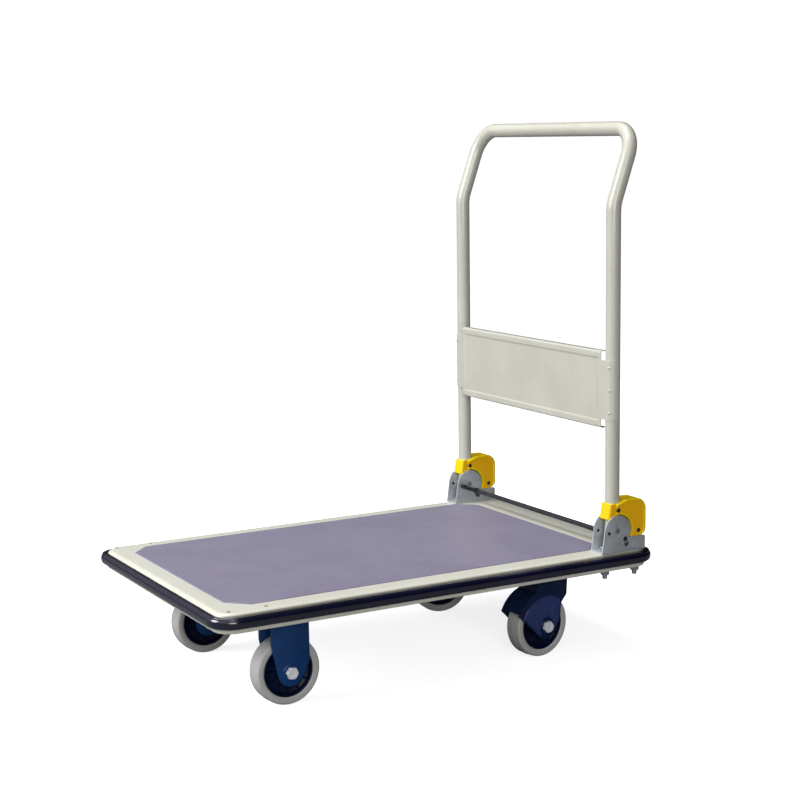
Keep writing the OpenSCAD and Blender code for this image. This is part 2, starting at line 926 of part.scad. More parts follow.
module panel_rivets() {
    at = tube_d / 2 + panel_sheet + touch;
    span = panel_height - 2 * saddle_step;
    color(beige)
        for (side = [-1, 1], k = [0.12, 0.5, 0.88])
            translate([post_x, side * post_y, pivot_z + panel_rise + saddle_step + k * span])
                difference() {
                    rotate([0, 0, -side * 25])
                        translate([-at - 1, 0, 0]) rotate([0, 90, 0]) cylinder(d = 5, h = 4);
                    translate([0, 0, -5]) cylinder(r = at + touch, h = 10);
                }
}

// Latch cover outline, with the hinge axis at the origin: the fan behind the tube
cover_back = 52.6;
cover_top = 47.5;
cover_foot = -11;
cover_round = 20;
cover_in_r = cheek_r + cover_gap;
collar_front = -17.3;
collar_foot = 15;

module fan_outline() {
    difference() {
        union() {
            translate([-2, cover_foot])
                square([cover_back + 2 - cover_round, cover_top - cover_foot]);
            translate([-2, cover_foot])
                square([cover_back + 2, cover_top - cover_round - cover_foot]);
            translate([cover_back - cover_round, cover_top - cover_round]) circle(cover_round);
        }
        circle(cover_in_r);
        translate([-60, -60]) square([60 + cheek_r * 0.5, 60]);
    }
}

module fan_hollow() {
    translate([-20, cover_foot - 1])
        square([cover_back + 20 - cover_round, cover_top - cover_foot - cover_wall + 1]);
    translate([-20, cover_foot - 1])
        square([cover_back + 20 - cover_wall, cover_top - cover_round - cover_foot + 1]);
    translate([cover_back - cover_round, cover_top - cover_round])
        circle(cover_round - cover_wall);
}

module collar_outline() {
    polygon([
        [collar_front, collar_foot + 3], [collar_front + 7, collar_foot - 2], [1, collar_foot + 4],
        [1, cover_top], [-13, cover_top]
    ]);
}

module latch_cover(side) {
    fan_half = cheek_out + 1;
    collar_half = cheek_half - 0.6;
    color(yellow)
        at_post(side)
            difference() {
                union() {
                    side_plate(-fan_half, fan_half) fan_outline();
                    side_plate(-collar_half, collar_half) collar_outline();
                }
                side_plate(-fan_half + cover_wall, fan_half - cover_wall)
                    intersection() {
                        fan_hollow();
                        translate([tube_d / 2 + 3, -20]) square([60, 80]);
                    }
                translate([0, 0, -5]) cylinder(d = tube_d + 2 * touch, h = 80);
                for (p = cover_screw_spots)
                    translate([p[0], 0, p[1]])
                        cylinder_y(screw_d / 2 + touch, -fan_half - 1, fan_half + 1);
            }
}

screw_d = 4;
cover_screw_spots = [[0.5, 32], [39, -3]];

module cover_screws() {
    fan_half = cheek_out + 1;
    color([0.35, 0.33, 0.3])
        for (side = [-1, 1], p = cover_screw_spots)
            at_post(side)
                difference() {
                    translate([p[0], 0, p[1]]) {
                        cylinder_y(screw_d / 2, -fan_half, fan_half);
                        cylinder_y(screw_d / 2 + 1.5, -fan_half - 1.6, -fan_half);
                        cylinder_y(screw_d / 2 + 1.5, fan_half, fan_half + 1.6);
                    }
                    cylinder(d = tube_d + 2 * touch, h = 80);
                }
}

// ---- Release rod ----

module at_rod() {
    translate([post_x + rod_x, 0, pivot_z + rod_z]) children();
}

rod_out = post_y + cheek_out + 3.2;

module release_rod() {
    color([0.2, 0.22, 0.24])
        at_rod() cylinder_y(rod_d / 2, -rod_out, rod_out);
}

module rod_clips() {
    clip = 1.2;
    color(zinc)
        at_rod()
            for (m = [0, 1])
                mirror([0, m, 0])
                    difference() {
                        cylinder_y(rod_d / 2 + 2, -rod_out + 0.8, -rod_out + 0.8 + clip);
                        cylinder_y(rod_d / 2 + touch, -rod_out, -rod_out + 4);
                    }
}

deck_shell();
deck_mat();
bumper();
deck_rivets();
stiffener(front_x);  // stiffener_front
stiffener(swivel_x);  // stiffener_rear
bracket_supports();
hinge_bracket(-1);  // hinge_bracket_left
hinge_bracket(1);  // hinge_bracket_right
bracket_bolts();
bracket_nuts();
pivot_pins();
release_springs();
spring_anchors();
fixed_fork(-1);  // fixed_fork_left
fixed_fork(1);  // fixed_fork_right
for (s = [-1, 1]) at_front_axle(s) axle_bolt(s, leg_out);  // front_axle_bolts
for (s = [-1, 1]) at_front_axle(s) axle_nut(s, leg_out);  // front_axle_nuts
for (s = [-1, 1]) at_front_axle(s) axle_sleeve();  // front_axle_sleeves
caster_bolts();
caster_nuts();
swivel_plate(-1);  // swivel_plate_left
swivel_plate(1);  // swivel_plate_right
kingpins();
swivel_balls();
handle_tube();
handle_panel();
panel_rivets();
hook_plates();
pivot_bushes();
latch_cover(-1);  // latch_cover_left
latch_cover(1);  // latch_cover_right
cover_screws();
release_rod();
rod_clips();
at_front_axle(-1) tyre();  // tyre_front_left
at_front_axle(-1) hub();  // hub_front_left
at_front_axle(-1) bearing();  // bearing_front_left
at_front_axle(1) tyre();  // tyre_front_right
at_front_axle(1) hub();  // hub_front_right
at_front_axle(1) bearing();  // bearing_front_right
at_rear_axle(-1) tyre();  // tyre_rear_left
at_rear_axle(-1) hub();  // hub_rear_left
at_rear_axle(-1) bearing();  // bearing_rear_left
at_rear_axle(1) tyre();  // tyre_rear_right
at_rear_axle(1) hub();  // hub_rear_right
at_rear_axle(1) bearing();  // bearing_rear_right
yoke(-1);  // yoke_left
at_rear_axle(-1) axle_bolt(-1, boss_out);  // axle_bolt_left
at_rear_axle(-1) axle_nut(-1, boss_out);  // axle_nut_left
at_rear_axle(-1) axle_sleeve();  // axle_sleeve_left
yoke(1);  // yoke_right
at_rear_axle(1) axle_bolt(1, boss_out);  // axle_bolt_right
at_rear_axle(1) axle_nut(1, boss_out);  // axle_nut_right
at_rear_axle(1) axle_sleeve();  // axle_sleeve_right
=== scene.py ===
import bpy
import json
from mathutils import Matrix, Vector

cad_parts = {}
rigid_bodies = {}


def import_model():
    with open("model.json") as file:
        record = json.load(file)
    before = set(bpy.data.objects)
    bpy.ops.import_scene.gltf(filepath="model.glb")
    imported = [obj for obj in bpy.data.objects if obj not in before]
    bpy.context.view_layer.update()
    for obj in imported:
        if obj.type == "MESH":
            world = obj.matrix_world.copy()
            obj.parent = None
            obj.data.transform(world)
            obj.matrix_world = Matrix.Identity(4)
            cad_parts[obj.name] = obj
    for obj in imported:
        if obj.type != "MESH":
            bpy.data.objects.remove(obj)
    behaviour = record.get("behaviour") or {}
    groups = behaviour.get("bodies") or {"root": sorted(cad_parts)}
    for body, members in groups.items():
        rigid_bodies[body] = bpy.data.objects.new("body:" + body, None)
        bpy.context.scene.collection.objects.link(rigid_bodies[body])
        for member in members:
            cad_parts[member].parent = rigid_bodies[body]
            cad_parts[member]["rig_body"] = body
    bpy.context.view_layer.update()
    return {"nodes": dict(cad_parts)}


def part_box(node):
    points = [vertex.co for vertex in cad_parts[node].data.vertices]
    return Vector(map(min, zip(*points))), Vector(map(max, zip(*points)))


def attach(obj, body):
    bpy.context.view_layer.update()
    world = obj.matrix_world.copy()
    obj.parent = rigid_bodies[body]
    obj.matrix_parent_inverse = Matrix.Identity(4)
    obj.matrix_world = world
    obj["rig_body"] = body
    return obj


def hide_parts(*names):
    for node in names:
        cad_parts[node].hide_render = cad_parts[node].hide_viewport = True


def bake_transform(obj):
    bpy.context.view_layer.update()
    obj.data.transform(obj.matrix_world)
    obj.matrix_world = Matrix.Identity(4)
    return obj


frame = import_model()

import json
import math

import bmesh
import bpy
import numpy as np
from mathutils import Matrix

# ---- Deck ----
# The deck is one sheet of 2 mm steel, pressed so that its edge rolls over into a skirt with a lip
# turned inwards at the foot. It is powder coated in cream.


def bent(corners, radius, steps, closed=True):
    """Turns each corner of a line into an arc that touches both of its sides: the arc's centre lies on the
    corner's bisector, and its points are the even turns from one touching radius to the other. Returns the
    points, and at each point the unit vector away from the arc's centre."""
    c = np.asarray(corners, float)
    a, b = np.roll(c, 1, 0) - c, np.roll(c, -1, 0) - c
    a /= np.linalg.norm(a, axis=1, keepdims=True)
    b /= np.linalg.norm(b, axis=1, keepdims=True)
    half = np.arccos(np.clip((a * b).sum(1), -1, 1))[:, None] / 2
    r = np.broadcast_to(radius, len(c))[:, None]
    middle = (a + b) / np.linalg.norm(a + b, axis=1, keepdims=True)
    centre = c + middle * r / np.sin(half)
    first, last = (c + side * r / np.tan(half) - centre for side in (a, b))
    turn = (np.pi - 2 * half)[:, None]
    k = np.linspace(0, 1, steps + 1)[None, :, None]
    away = (first[:, None] * np.sin((1 - k) * turn) + last[:, None] * np.sin(k * turn)) / np.sin(turn)
    points = (centre[:, None] + away).reshape(-1, c.shape[1])
    away = (away / r[:, None]).reshape(-1, c.shape[1])
    if closed:
        return points, away
    cut = slice(steps + 1, -steps - 1)
    return np.vstack([c[:1], points[cut], c[-1:]]), away[cut]


def arc(centre, r, start, end, steps):
    """Points at even angles on a circle, from start to end in degrees."""
    t = np.radians(np.linspace(start, end, steps + 1))
    return np.column_stack([centre[0] + r * np.cos(t), centre[1] + r * np.sin(t)])


def net(grid, ends="caps"):
    """Four-sided faces over a grid of points whose rows are closed rings. The ends get a cap each, or are
    joined to each other."""
    rows, cols = grid.shape[:2]
    i = np.arange(rows * cols).reshape(rows, cols)
    a = np.vstack([i, i[:1]]) if ends == "joined" else i
    b = np.roll(a, -1, 1)
    faces = [np.stack([a[:-1], b[:-1], b[1:], a[1:]], -1).reshape(-1, 4)]
    if ends == "caps":
        faces += [i[:1], i[-1:, ::-1]]
    return grid.reshape(-1, 3), faces


def round_the_rim(loop, away, profile, ends="caps"):
    """Carries a profile of (distance out, height) round a flat loop: every profile point gives one ring, set
    off from the loop along the loop's own outward vectors."""
    flat = loop[None] + away[None] * profile[:, 0, None, None]
    height = np.broadcast_to(profile[:, 1, None, None], flat.shape[:2] + (1,))
    return net(np.concatenate([flat, height], 2), ends)


def piece(name, shapes, material, body, nodes=(), sharp=32):
    """One object at the origin from shapes of points and faces: doubles are merged, faces turned outwards,
    and edges under the sharp angle shaded smooth."""
    faces, base = [], 0
    for points, groups in shapes:
        faces += [row for group in groups for row in (np.asarray(group) + base).tolist()]
        base += len(points)
    mesh = bpy.data.meshes.new(name)
    mesh.from_pydata(np.vstack([points for points, groups in shapes]), [], faces)
    return finished(name, mesh, material, body, nodes, sharp)


def finished(name, mesh, material, body, nodes=(), sharp=32):
    """Cleans the mesh, then links its object, gives it its material and hands it to the frame."""
    bm = bmesh.new()
    bm.from_mesh(mesh)
    bmesh.ops.remove_doubles(bm, verts=bm.verts, dist=2e-6)
    bmesh.ops.dissolve_degenerate(bm, edges=bm.edges, dist=1e-7)
    bmesh.ops.recalc_face_normals(bm, faces=bm.faces)
    bm.to_mesh(mesh)
    bm.free()
    mesh.polygons.foreach_set("use_smooth", np.ones(len(mesh.polygons), bool))
    mesh.set_sharp_from_angle(angle=math.radians(sharp))
    mesh.materials.append(material)
    made = bpy.data.objects.new(name, mesh)
    bpy.context.scene.collection.objects.link(made)
    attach(made, body)
    if nodes:
        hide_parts(*nodes)
    return made


def colour(red, green, blue):
    """A display colour, 0 to 255, as the linear colour that shaders take."""
    c = np.array([red, green, blue]) / 255
    return (*np.where(c <= 0.04045, c / 12.92, ((c + 0.055) / 1.055) ** 2.4), 1.0)


def add(tree, kind, settings=(), **inputs):
    """Adds a shader node, sets its properties and puts a value or a link on each named input."""
    node = tree.nodes.new("ShaderNode" + kind)
    for key, value in dict(settings).items():
        setattr(node, key, value)
    for key, value in inputs.items():
        socket = node.inputs[int(key[1:])] if key[1:].isdigit() else node.inputs[key.replace("_", " ")]
        if isinstance(value, bpy.types.NodeSocket):
            tree.links.new(value, socket)
        else:
            socket.default_value = value
    return node


def new_group(name, inputs, outputs):
    """A shader node group with float or vector inputs and float outputs, and its two end nodes."""
    tree = bpy.data.node_groups.new(name, "ShaderNodeTree")
    for key, value in inputs.items():
        kind = "NodeSocketVector" if value is None else "NodeSocketFloat"
        socket = tree.interface.new_socket(key, in_out="INPUT", socket_type=kind)
        if value is not None:
            socket.default_value = value
    for key in outputs:
        tree.interface.new_socket(key, in_out="OUTPUT", socket_type="NodeSocketFloat")
    return tree, tree.nodes.new("NodeGroupInput"), tree.nodes.new("NodeGroupOutput")


def steps_between(tree, value, low, high):
    """Smooth step of value, 0 at low and 1 at high."""
    return add(tree, "MapRange", {"interpolation_type": "SMOOTHSTEP"},
               _0=value, _1=low, _2=high).outputs[0]


def ranged(tree, share, low, high):
    """A share from 0 to 1, stretched to run from low to high."""
    return add(tree, "MapRange", _0=share, _3=low, _4=high).outputs[0]


def maths(tree, operation, *values):
    """The result of one operation on values or links."""
    node = add(tree, "Math", {"operation": operation},
               **{f"_{k}": value for k, value in enumerate(values)})
    return node.outputs[0]


# Wear: bare edges where the surface turns sharply, soft smudges a hand wide, and fine specks
wear, given, out = new_group("wear_marks", {"Vector": None, "Edge": 1.0},
                             ("Edge", "Smudge", "Speck", "Streak"))
point = given.outputs["Vector"]
patchy = add(wear, "TexNoise", Vector=point, Scale=140.0, Detail=4.0, Roughness=0.65)
sharpness = add(wear, "NewGeometry").outputs["Pointiness"]
bare = maths(wear, "MULTIPLY", steps_between(wear, sharpness, 0.52, 0.60),
             steps_between(wear, patchy.outputs[0], 0.50, 0.62))
wear.links.new(maths(wear, "MULTIPLY", bare, given.outputs["Edge"]), out.inputs["Edge"])
drawn = add(wear, "Mapping", _0=point, Scale=(4.0, 60.0, 60.0)).outputs[0]
for mark, low, high, noise in (
        ("Smudge", 0.34, 0.68, {"Vector": point, "Scale": 9.0, "Detail": 5.0, "Roughness": 0.6}),
        ("Speck", 0.66, 0.74, {"Vector": point, "Scale": 900.0, "Detail": 2.0}),
        ("Streak", 0.60, 0.72, {"Vector": drawn, "Scale": 14.0, "Detail": 3.0, "Distortion": 0.4})):
    cloud = add(wear, "TexNoise", **noise).outputs[0]
    wear.links.new(steps_between(wear, cloud, low, high), out.inputs[mark])

# Grain: the height of a finely uneven surface, such as a sprayed coat or a moulded skin
grain, given, out = new_group("fine_grain", {"Vector": None, "Size": 1.0}, ("Height", "Tone"))
point = add(grain, "VectorMath", {"operation": "SCALE"}, _0=given.outputs["Vector"],
            Scale=given.outputs["Size"]).outputs[0]
ripple = add(grain, "TexNoise", Vector=point, Scale=420.0, Detail=3.0, Roughness=0.5)
cells = add(grain, "TexVoronoi", {"feature": "SMOOTH_F1"}, Vector=point, Scale=700.0)
both = add(grain, "Mix", {"data_type": "FLOAT"}, _0=0.35, _2=ripple.outputs[0], _3=cells.outputs[0])
grain.links.new(both.outputs[0], out.inputs["Height"])
grain.links.new(ripple.outputs[0], out.inputs["Tone"])


def blended(tree, share, under, over):
    """One colour laid over another by a share that varies over the surface."""
    return add(tree, "Mix", {"data_type": "RGBA"}, _0=share, _6=under, _7=over).outputs[2]


def laid_over(tree, shader, share, over):
    """Lays one more colour over a shader's own, by a share that varies over the surface."""
    base = shader.inputs["Base Color"]
    tree.links.new(blended(tree, share, base.links[0].from_socket, colour(*over)), base)


def skin(name, light, dark, bare, rough, grain_size, grain_depth, edge=1.0, metal=0.0, coat=0.0,
         coat_rough=0.08, specular=0.5, streaks=0.0):
    """A worn coat over a base: light and dark tones in soft patches, bare where edges are rubbed, and a
    finely uneven surface. Returns the material and the parts that a section may add to."""
    light, dark, bare = (colour(*tone) for tone in (light, dark, bare))
    material = bpy.data.materials.new(name)
    material.use_nodes = True
    tree = material.node_tree
    shader = tree.nodes["Principled BSDF"]
    place = add(tree, "TexCoord").outputs["Object"]
    marks = add(tree, "Group", {"node_tree": wear}, Vector=place, Edge=edge)
    relief = add(tree, "Group", {"node_tree": grain}, Vector=place, Size=grain_size)
    tone = blended(tree, marks.outputs["Smudge"], light, dark)
    tone = blended(tree, maths(tree, "MULTIPLY", marks.outputs["Speck"], 0.25), tone, dark)
    if streaks:
        tone = blended(tree, maths(tree, "MULTIPLY", marks.outputs["Streak"], streaks), tone, bare)
    tone = blended(tree, marks.outputs["Edge"], tone, bare)
    tree.links.new(tone, shader.inputs["Base Color"])
    gloss = ranged(tree, marks.outputs["Smudge"], rough * 0.88, rough * 1.14)
    uneven = maths(tree, "MULTIPLY_ADD", relief.outputs["Tone"], 0.08, gloss)
    tree.links.new(uneven, shader.inputs["Roughness"])
    shader.inputs["Metallic"].default_value = metal
    shader.inputs["Coat Weight"].default_value = coat
    shader.inputs["Coat Roughness"].default_value = coat_rough
    shader.inputs["Specular IOR Level"].default_value = specular
    bump = add(tree, "Bump", Strength=1.0, Distance=grain_depth, Height=relief.outputs["Height"])
    tree.links.new(bump.outputs[0], shader.inputs["Normal"])
    return material, tree, shader, place, bump


def cream_skin(name):
    """The deck's cream powder coat."""
    return skin(name, (221, 221, 209), (214, 213, 200), (184, 182, 172), rough=0.34, grain_size=0.5,
                grain_depth=0.00010, coat=0.15, edge=0.5)


cream_paint = cream_skin("cream_paint")[0]


def on_sides(tree, low, high):
    """A mask of the surfaces that face left or right, from the sideways part of the surface's normal."""
    normal = add(tree, "NewGeometry").outputs["Normal"]
    sideways = add(tree, "SeparateXYZ", Vector=normal).outputs["Y"]
    return steps_between(tree, maths(tree, "ABSOLUTE", sideways), low, high)


deck_low, deck_high = map(np.array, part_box("deck_shell"))
half_x, half_y = deck_high[:2]
deck_top, lip_z = deck_high[2], deck_low[2]
sheet, roll_r, fold_r, lip, burr, border = 0.002, 0.009, 0.0026, 0.008, 0.0004, 0.027
rim, rim_away = bent([(half_x, half_y), (-half_x, half_y), (-half_x, -half_y), (half_x, -half_y)], 0.028, 20)
edge_r = fold_r - sheet
deck_profile = np.vstack([
    [(-border, deck_top)],
    arc((-roll_r, deck_top - roll_r), roll_r, 90, 0, 14),
    arc((-fold_r, lip_z + fold_r), fold_r, 0, -90, 6),
    [(burr - lip, lip_z), (-lip, lip_z + burr), (-lip, lip_z + sheet - burr), (burr - lip, lip_z + sheet)],
    arc((-fold_r, lip_z + fold_r), edge_r, -90, 0, 3),
    arc((-roll_r, deck_top - roll_r), roll_r - sheet, 0, 90, 10),
    [(-border, deck_top - sheet)],
])
# On the long sides the roll is painted darker and olive, from just under the top to above the foot: painted
# shade for the dark the rolled edge catches
deck_paint, tree, shader, place, _ = cream_skin("deck_paint")
height = add(tree, "SeparateXYZ", Vector=place).outputs["Z"]
below_top = steps_between(tree, height, deck_top - 0.0006, deck_top - 0.0042)
above_foot = steps_between(tree, height, lip_z + 0.006, lip_z + 0.012)
painted_roll_shade = maths(tree, "MULTIPLY", maths(tree, "MULTIPLY", below_top, on_sides(tree, 0.30, 0.75)), above_foot)
laid_over(tree, shader, maths(tree, "MULTIPLY", painted_roll_shade, 0.82), (84, 80, 64))
piece("deck_pressing", [round_the_rim(rim, rim_away, deck_profile)], deck_paint, "deck",
      ["deck_shell"])

# ---- Mat ----
# The mat is a sheet of lavender-grey vinyl, 1.6 mm thick, embossed with small diamonds against slipping.
# Its corners are cut off, and it is glued to the deck.
mat_low, mat_high = map(np.array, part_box("deck_mat"))
mat_cut = 0.028
x0, y0, x1, y1 = *mat_low[:2], *mat_high[:2]
mat_loop, mat_away = bent([(x1 - mat_cut, y1), (x0 + mat_cut, y1), (x0, y1 - mat_cut), (x0, y0 + mat_cut),
                           (x0 + mat_cut, y0), (x1 - mat_cut, y0), (x1, y0 + mat_cut), (x1, y1 - mat_cut)],
                          0.003, 4)
mat_profile = np.array([(0, -0.0002), (0, 0.0009), (-0.0002, 0.0013), (-0.0005, 0.0015), (-0.0009, 0.0016),
                        (-0.002, 0.0016)]) + (0, deck_top)
mat_vinyl, tree, shader, place, bump = skin(
    "mat_vinyl", (146, 141, 162), (136, 131, 153), (160, 155, 176), rough=0.42,
    grain_size=0.9, grain_depth=0.00012, edge=0.3, specular=0.35, streaks=0.10)
turned_45 = add(tree, "Mapping", _0=place, Rotation=(0.0, 0.0, math.radians(45)))
diamonds = add(tree, "TexVoronoi", {"voronoi_dimensions": "2D", "distance": "CHEBYCHEV"},
               Vector=turned_45.outputs[0], Scale=170.0, Randomness=0.0)
raised = steps_between(tree, diamonds.outputs["Distance"], 0.42, 0.30)
emboss = add(tree, "Bump", Strength=0.9, Distance=0.0005, Height=raised, Normal=bump.outputs[0])
tree.links.new(emboss.outputs[0], shader.inputs["Normal"])
# Painted shade: the grooves between the raised diamonds are darkened a little
laid_over(tree, shader, ranged(tree, raised, 0.22, 0.0), (122, 117, 139))
piece("mat_sheet", [round_the_rim(mat_loop, mat_away, mat_profile)], mat_vinyl, "deck",
      ["deck_mat"])

# ---- Bumper ----
# The bumper is a glossy navy vinyl extrusion, pushed over the skirt all the way round. It has a D section
# with a thin bead along its upper shoulder.
bumper_vinyl = skin("bumper_vinyl", (13, 14, 46), (8, 9, 36), (40, 42, 80), rough=0.16, grain_size=0.35,
                    grain_depth=0.00004, edge=0.2, coat=1.0, coat_rough=0.03)[0]
bumper_low, bumper_high = map(np.array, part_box("bumper"))
bumper_out = bumper_high[0] - half_x
foot, crown = bumper_low[2], bumper_high[2]
nose_r = 0.007
nose = bumper_out - nose_r
roll_at = (-roll_r, deck_top - roll_r)
seat = math.degrees(math.asin((crown - roll_at[1]) / roll_r))
shoulder = arc((nose, crown - nose_r), nose_r, 0, 90, 30)
turn = np.linspace(0, 90, 31)
bead = 0.0009 * np.exp(-(((turn - 52) / 5.0) ** 2)) - 0.0007 * np.exp(-(((turn - 68) / 6) ** 2))
shoulder += bead[:, None] * np.column_stack([np.cos(np.radians(turn)), np.sin(np.radians(turn))])
bumper_profile = np.vstack([
    [(0.00005, foot + 0.0004), (0.0005, foot)],
    arc((nose, foot + nose_r), nose_r, -90, 0, 16),
    shoulder,
    [(-0.0006, crown)],
    arc(roll_at, roll_r + 0.00005, seat, 0, 6),
])
piece("bumper_strip", [round_the_rim(rim, rim_away, bumper_profile, "joined")], bumper_vinyl, "deck",
      ["bumper"])

# ---- Rivets of the deck ----
# Four flat-headed rivets by the front corners, bright zinc.


def angles(steps):
    """Even angles round a circle."""
    return np.linspace(0, 2 * np.pi, steps, endpoint=False)


def rings(r, t, z, ends="caps"):
    """A net over rings about the upright axis, from their radii, angles and heights."""
    return net(np.stack([r * np.cos(t), r * np.sin(t), z + 0 * t], -1), ends)


def turned(profile, steps=48, ends="caps"):
    """Turns a profile of (radius, height) about the upright axis: each profile point gives one ring."""
    return rings(profile[:, :1], angles(steps), profile[:, 1:], ends)


def placed(shape, at, axis=(0, 0, 1), roll=0.0):
    """Moves a shape that stands on the origin along Z so that it stands on a point along an axis."""
    n = np.asarray(axis, float) / np.linalg.norm(axis)
    side = np.cross(n, (0, 0, 1) if abs(n[2]) < 0.9 else (1, 0, 0))
    side /= np.linalg.norm(side)
    up = np.cross(n, side)
    c, s = math.cos(roll), math.sin(roll)
    across, along = c * side + s * up, -s * side + c * up
    return shape[0] @ np.array([across, along, n]) + np.asarray(at, float), shape[1]


def zinc_skin(name, light, dark, rough, streaks=0.12, metal=0.85):
    """Zinc plating: small crystals in slightly different tones over a brushed metal, dulled in patches."""
    made, tree, shader, place, _ = skin(name, light, dark, (216, 218, 220), rough=rough, grain_size=0.7,
                                        grain_depth=0.00004, metal=metal, edge=0.6, streaks=streaks)
    crystal = add(tree, "TexVoronoi", Vector=place, Scale=420.0)
    laid_over(tree, shader, ranged(tree, crystal.outputs["Color"], 0.0, 0.35), dark)
    return made


bright_zinc = zinc_skin("bright_zinc", (214, 218, 224), (178, 184, 193), 0.30)
rivet_r, rivet_round = 0.0025, 0.0008
flat_rivet = turned(np.vstack([[(rivet_r, -0.0002), (rivet_r, 0.0002)],
                               arc((rivet_r - rivet_round, 0.0002), rivet_round, 0, 90, 5),
                               [(0.0004, 0.00095), (0, 0.0009)]]), 32)
low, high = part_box("deck_rivets")
piece("flat_rivets", [placed(flat_rivet, (x, y, deck_top)) for x in (low.x + rivet_r, high.x - rivet_r)
                      for y in (low.y + rivet_r, high.y - rivet_r)],
      zinc_skin("rivet_zinc", (176, 172, 160), (140, 136, 126), 0.4), "deck",
      ["deck_rivets"])

# ---- Sheet steel under the deck ----
# Two hat sections run across under the deck and carry the casters, and a channel stands under each hinge
# bracket. They are folded from sheet, welded, and coated with the deck.


def eased(name, node, width, material, body, extra=()):
    """A piece with a CAD node's own shape: its triangles are merged into flat faces, and every edge over
    30 degrees is rounded, as a pressed or moulded edge is. Extra shapes join it."""
    bm = bmesh.new()
    bm.from_mesh(frame["nodes"][node].data)
    bmesh.ops.remove_doubles(bm, verts=bm.verts, dist=1e-6)
    bmesh.ops.dissolve_limit(bm, angle_limit=math.radians(0.8), verts=bm.verts, edges=bm.edges)
    corners = [e for e in bm.edges if len(e.link_faces) == 2 and e.calc_face_angle(0) > math.radians(30)]
    bmesh.ops.bevel(bm, geom=corners, offset=width, segments=2, profile=0.5, affect="EDGES",
                    clamp_overlap=True)
    mesh = bpy.data.meshes.new(name)
    bm.to_mesh(mesh)
    bm.free()
    if extra:
        base = len(mesh.vertices)
        points = np.empty(base * 3)
        mesh.vertices.foreach_get("co", points)
        faces = [list(p.vertices) for p in mesh.polygons]
        shapes = [(points.reshape(-1, 3), [[f] for f in faces]), *extra]
        return piece(name, shapes, material, body, [node])
    return finished(name, mesh, material, body, [node])


for node in ("stiffener_front", "stiffener_rear", "bracket_supports"):
    eased("folded_" + node, node, 0.0004, cream_paint, "deck")

# ---- Handle ----
# The handle is one round steel tube, 22 mm across with a 1.5 mm wall: two posts that lean back above a bend
# and join in two tight corners. It is powder coated in warm grey.


def tube(path, facing, outer, inner, steps=40):
    """Carries a ring along a path, square to it: the ring's first direction is the path's direction crossed
    with a fixed one. The outer wall runs there and the inner wall back, so both open ends are closed."""
    ahead = np.gradient(path, axis=0)
    ahead /= np.linalg.norm(ahead, axis=1, keepdims=True)
    side = np.cross(ahead, facing)
    side /= np.linalg.norm(side, axis=1, keepdims=True)
    up = np.cross(side, ahead)
    t = np.linspace(0, 2 * np.pi, steps, endpoint=False)[None, :, None]
    ring = side[:, None] * np.cos(t) + up[:, None] * np.sin(t)
    return net(np.vstack([path[:, None] + ring * outer, (path[:, None] + ring * inner)[::-1]]), "joined")


def spread(path, longest):
    """Adds points to the long stretches of a path so that no step is longer than a given length."""
    steps = np.linalg.norm(np.diff(path, axis=0), axis=1)
    along = np.r_[0, np.cumsum(steps)]
    extra = [np.linspace(a, b, int(math.ceil((b - a) / longest)) + 1)[:-1] for a, b in zip(along, along[1:])]
    at = np.r_[np.concatenate(extra), along[-1]]
    return np.column_stack([np.interp(at, along, path[:, k]) for k in range(3)])


tube_r, tube_wall = 0.011, 0.0015
post_bend_r, corner_r, bend_height = 0.060, 0.042, 0.492
low, high = map(np.array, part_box("handle_tube"))
post_x, post_y, foot_z = low[0] + tube_r, high[1] - tube_r, low[2]
bar_x, bar_z = high[0] - tube_r, high[2] - tube_r
hinge_z = sum(corner.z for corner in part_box("pivot_pins")) / 2
bend_z = hinge_z + bend_height
corners = [(post_x, -post_y, foot_z), (post_x, -post_y, bend_z), (bar_x, -post_y, bar_z),
           (bar_x, post_y, bar_z), (post_x, post_y, bend_z), (post_x, post_y, foot_z)]
line = bent(corners, [0.001, post_bend_r, corner_r, corner_r, post_bend_r, 0.001], 18, closed=False)[0]
lean = math.atan2(bar_x - post_x, bar_z - bend_z)
grey_paint = skin("grey_paint", (206, 205, 193), (197, 196, 182), (158, 156, 146), rough=0.30,
                  grain_size=0.6, grain_depth=0.00006, coat=0.5, coat_rough=0.05, edge=0.5)[0]
piece("bent_tube", [tube(spread(line, 0.03), (math.cos(lean), 0, -math.sin(lean)), tube_r,
                         tube_r - tube_wall)], grey_paint, "handle", ["handle_tube"])

# The panel is 1.2 mm sheet with its top and bottom folded back, a shallow field pressed into it, and ends
# that wrap round the posts as saddles, held by three rivets each.
panel_sheet, fold_r, panel_flange, saddle_step = 0.0012, 0.0035, 0.011, 0.014
field_depth, field_inset, field_slope = 0.0011, 0.0095, 0.0035
low, high = map(np.array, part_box("handle_panel"))
face_x, panel_z0, panel_z1 = low[0], low[2], high[2]
half_field = post_y - tube_r - 0.003
across = np.unique(np.r_[np.linspace(-1, 1, 61), np.linspace(0.97, 1, 7), -np.linspace(0.93, 1, 13),
                         np.linspace(0.93, 1, 13)]) * half_field
wrap = np.radians(np.linspace(0, 100, 21))[1:]
saddle_r = tube_r + 0.00002 + panel_sheet
flat_y = np.r_[-post_y, across, post_y]
turns = np.r_[-wrap[::-1], 0 * flat_y, wrap]
path_x = np.where(turns == 0, face_x, post_x - saddle_r * np.cos(turns))
path_y = np.r_[0 * wrap - post_y, flat_y, 0 * wrap + post_y] + saddle_r * np.sin(turns)
path_out = np.column_stack([-np.cos(turns), np.sin(turns)])
upright = np.unique(np.r_[np.linspace(panel_z0 + fold_r, panel_z1 - fold_r, 41),
                          panel_z0 + saddle_step, panel_z1 - saddle_step,
                          panel_z0 + np.linspace(0.004, saddle_step, 15),
                          panel_z1 - np.linspace(0.004, saddle_step, 15)])
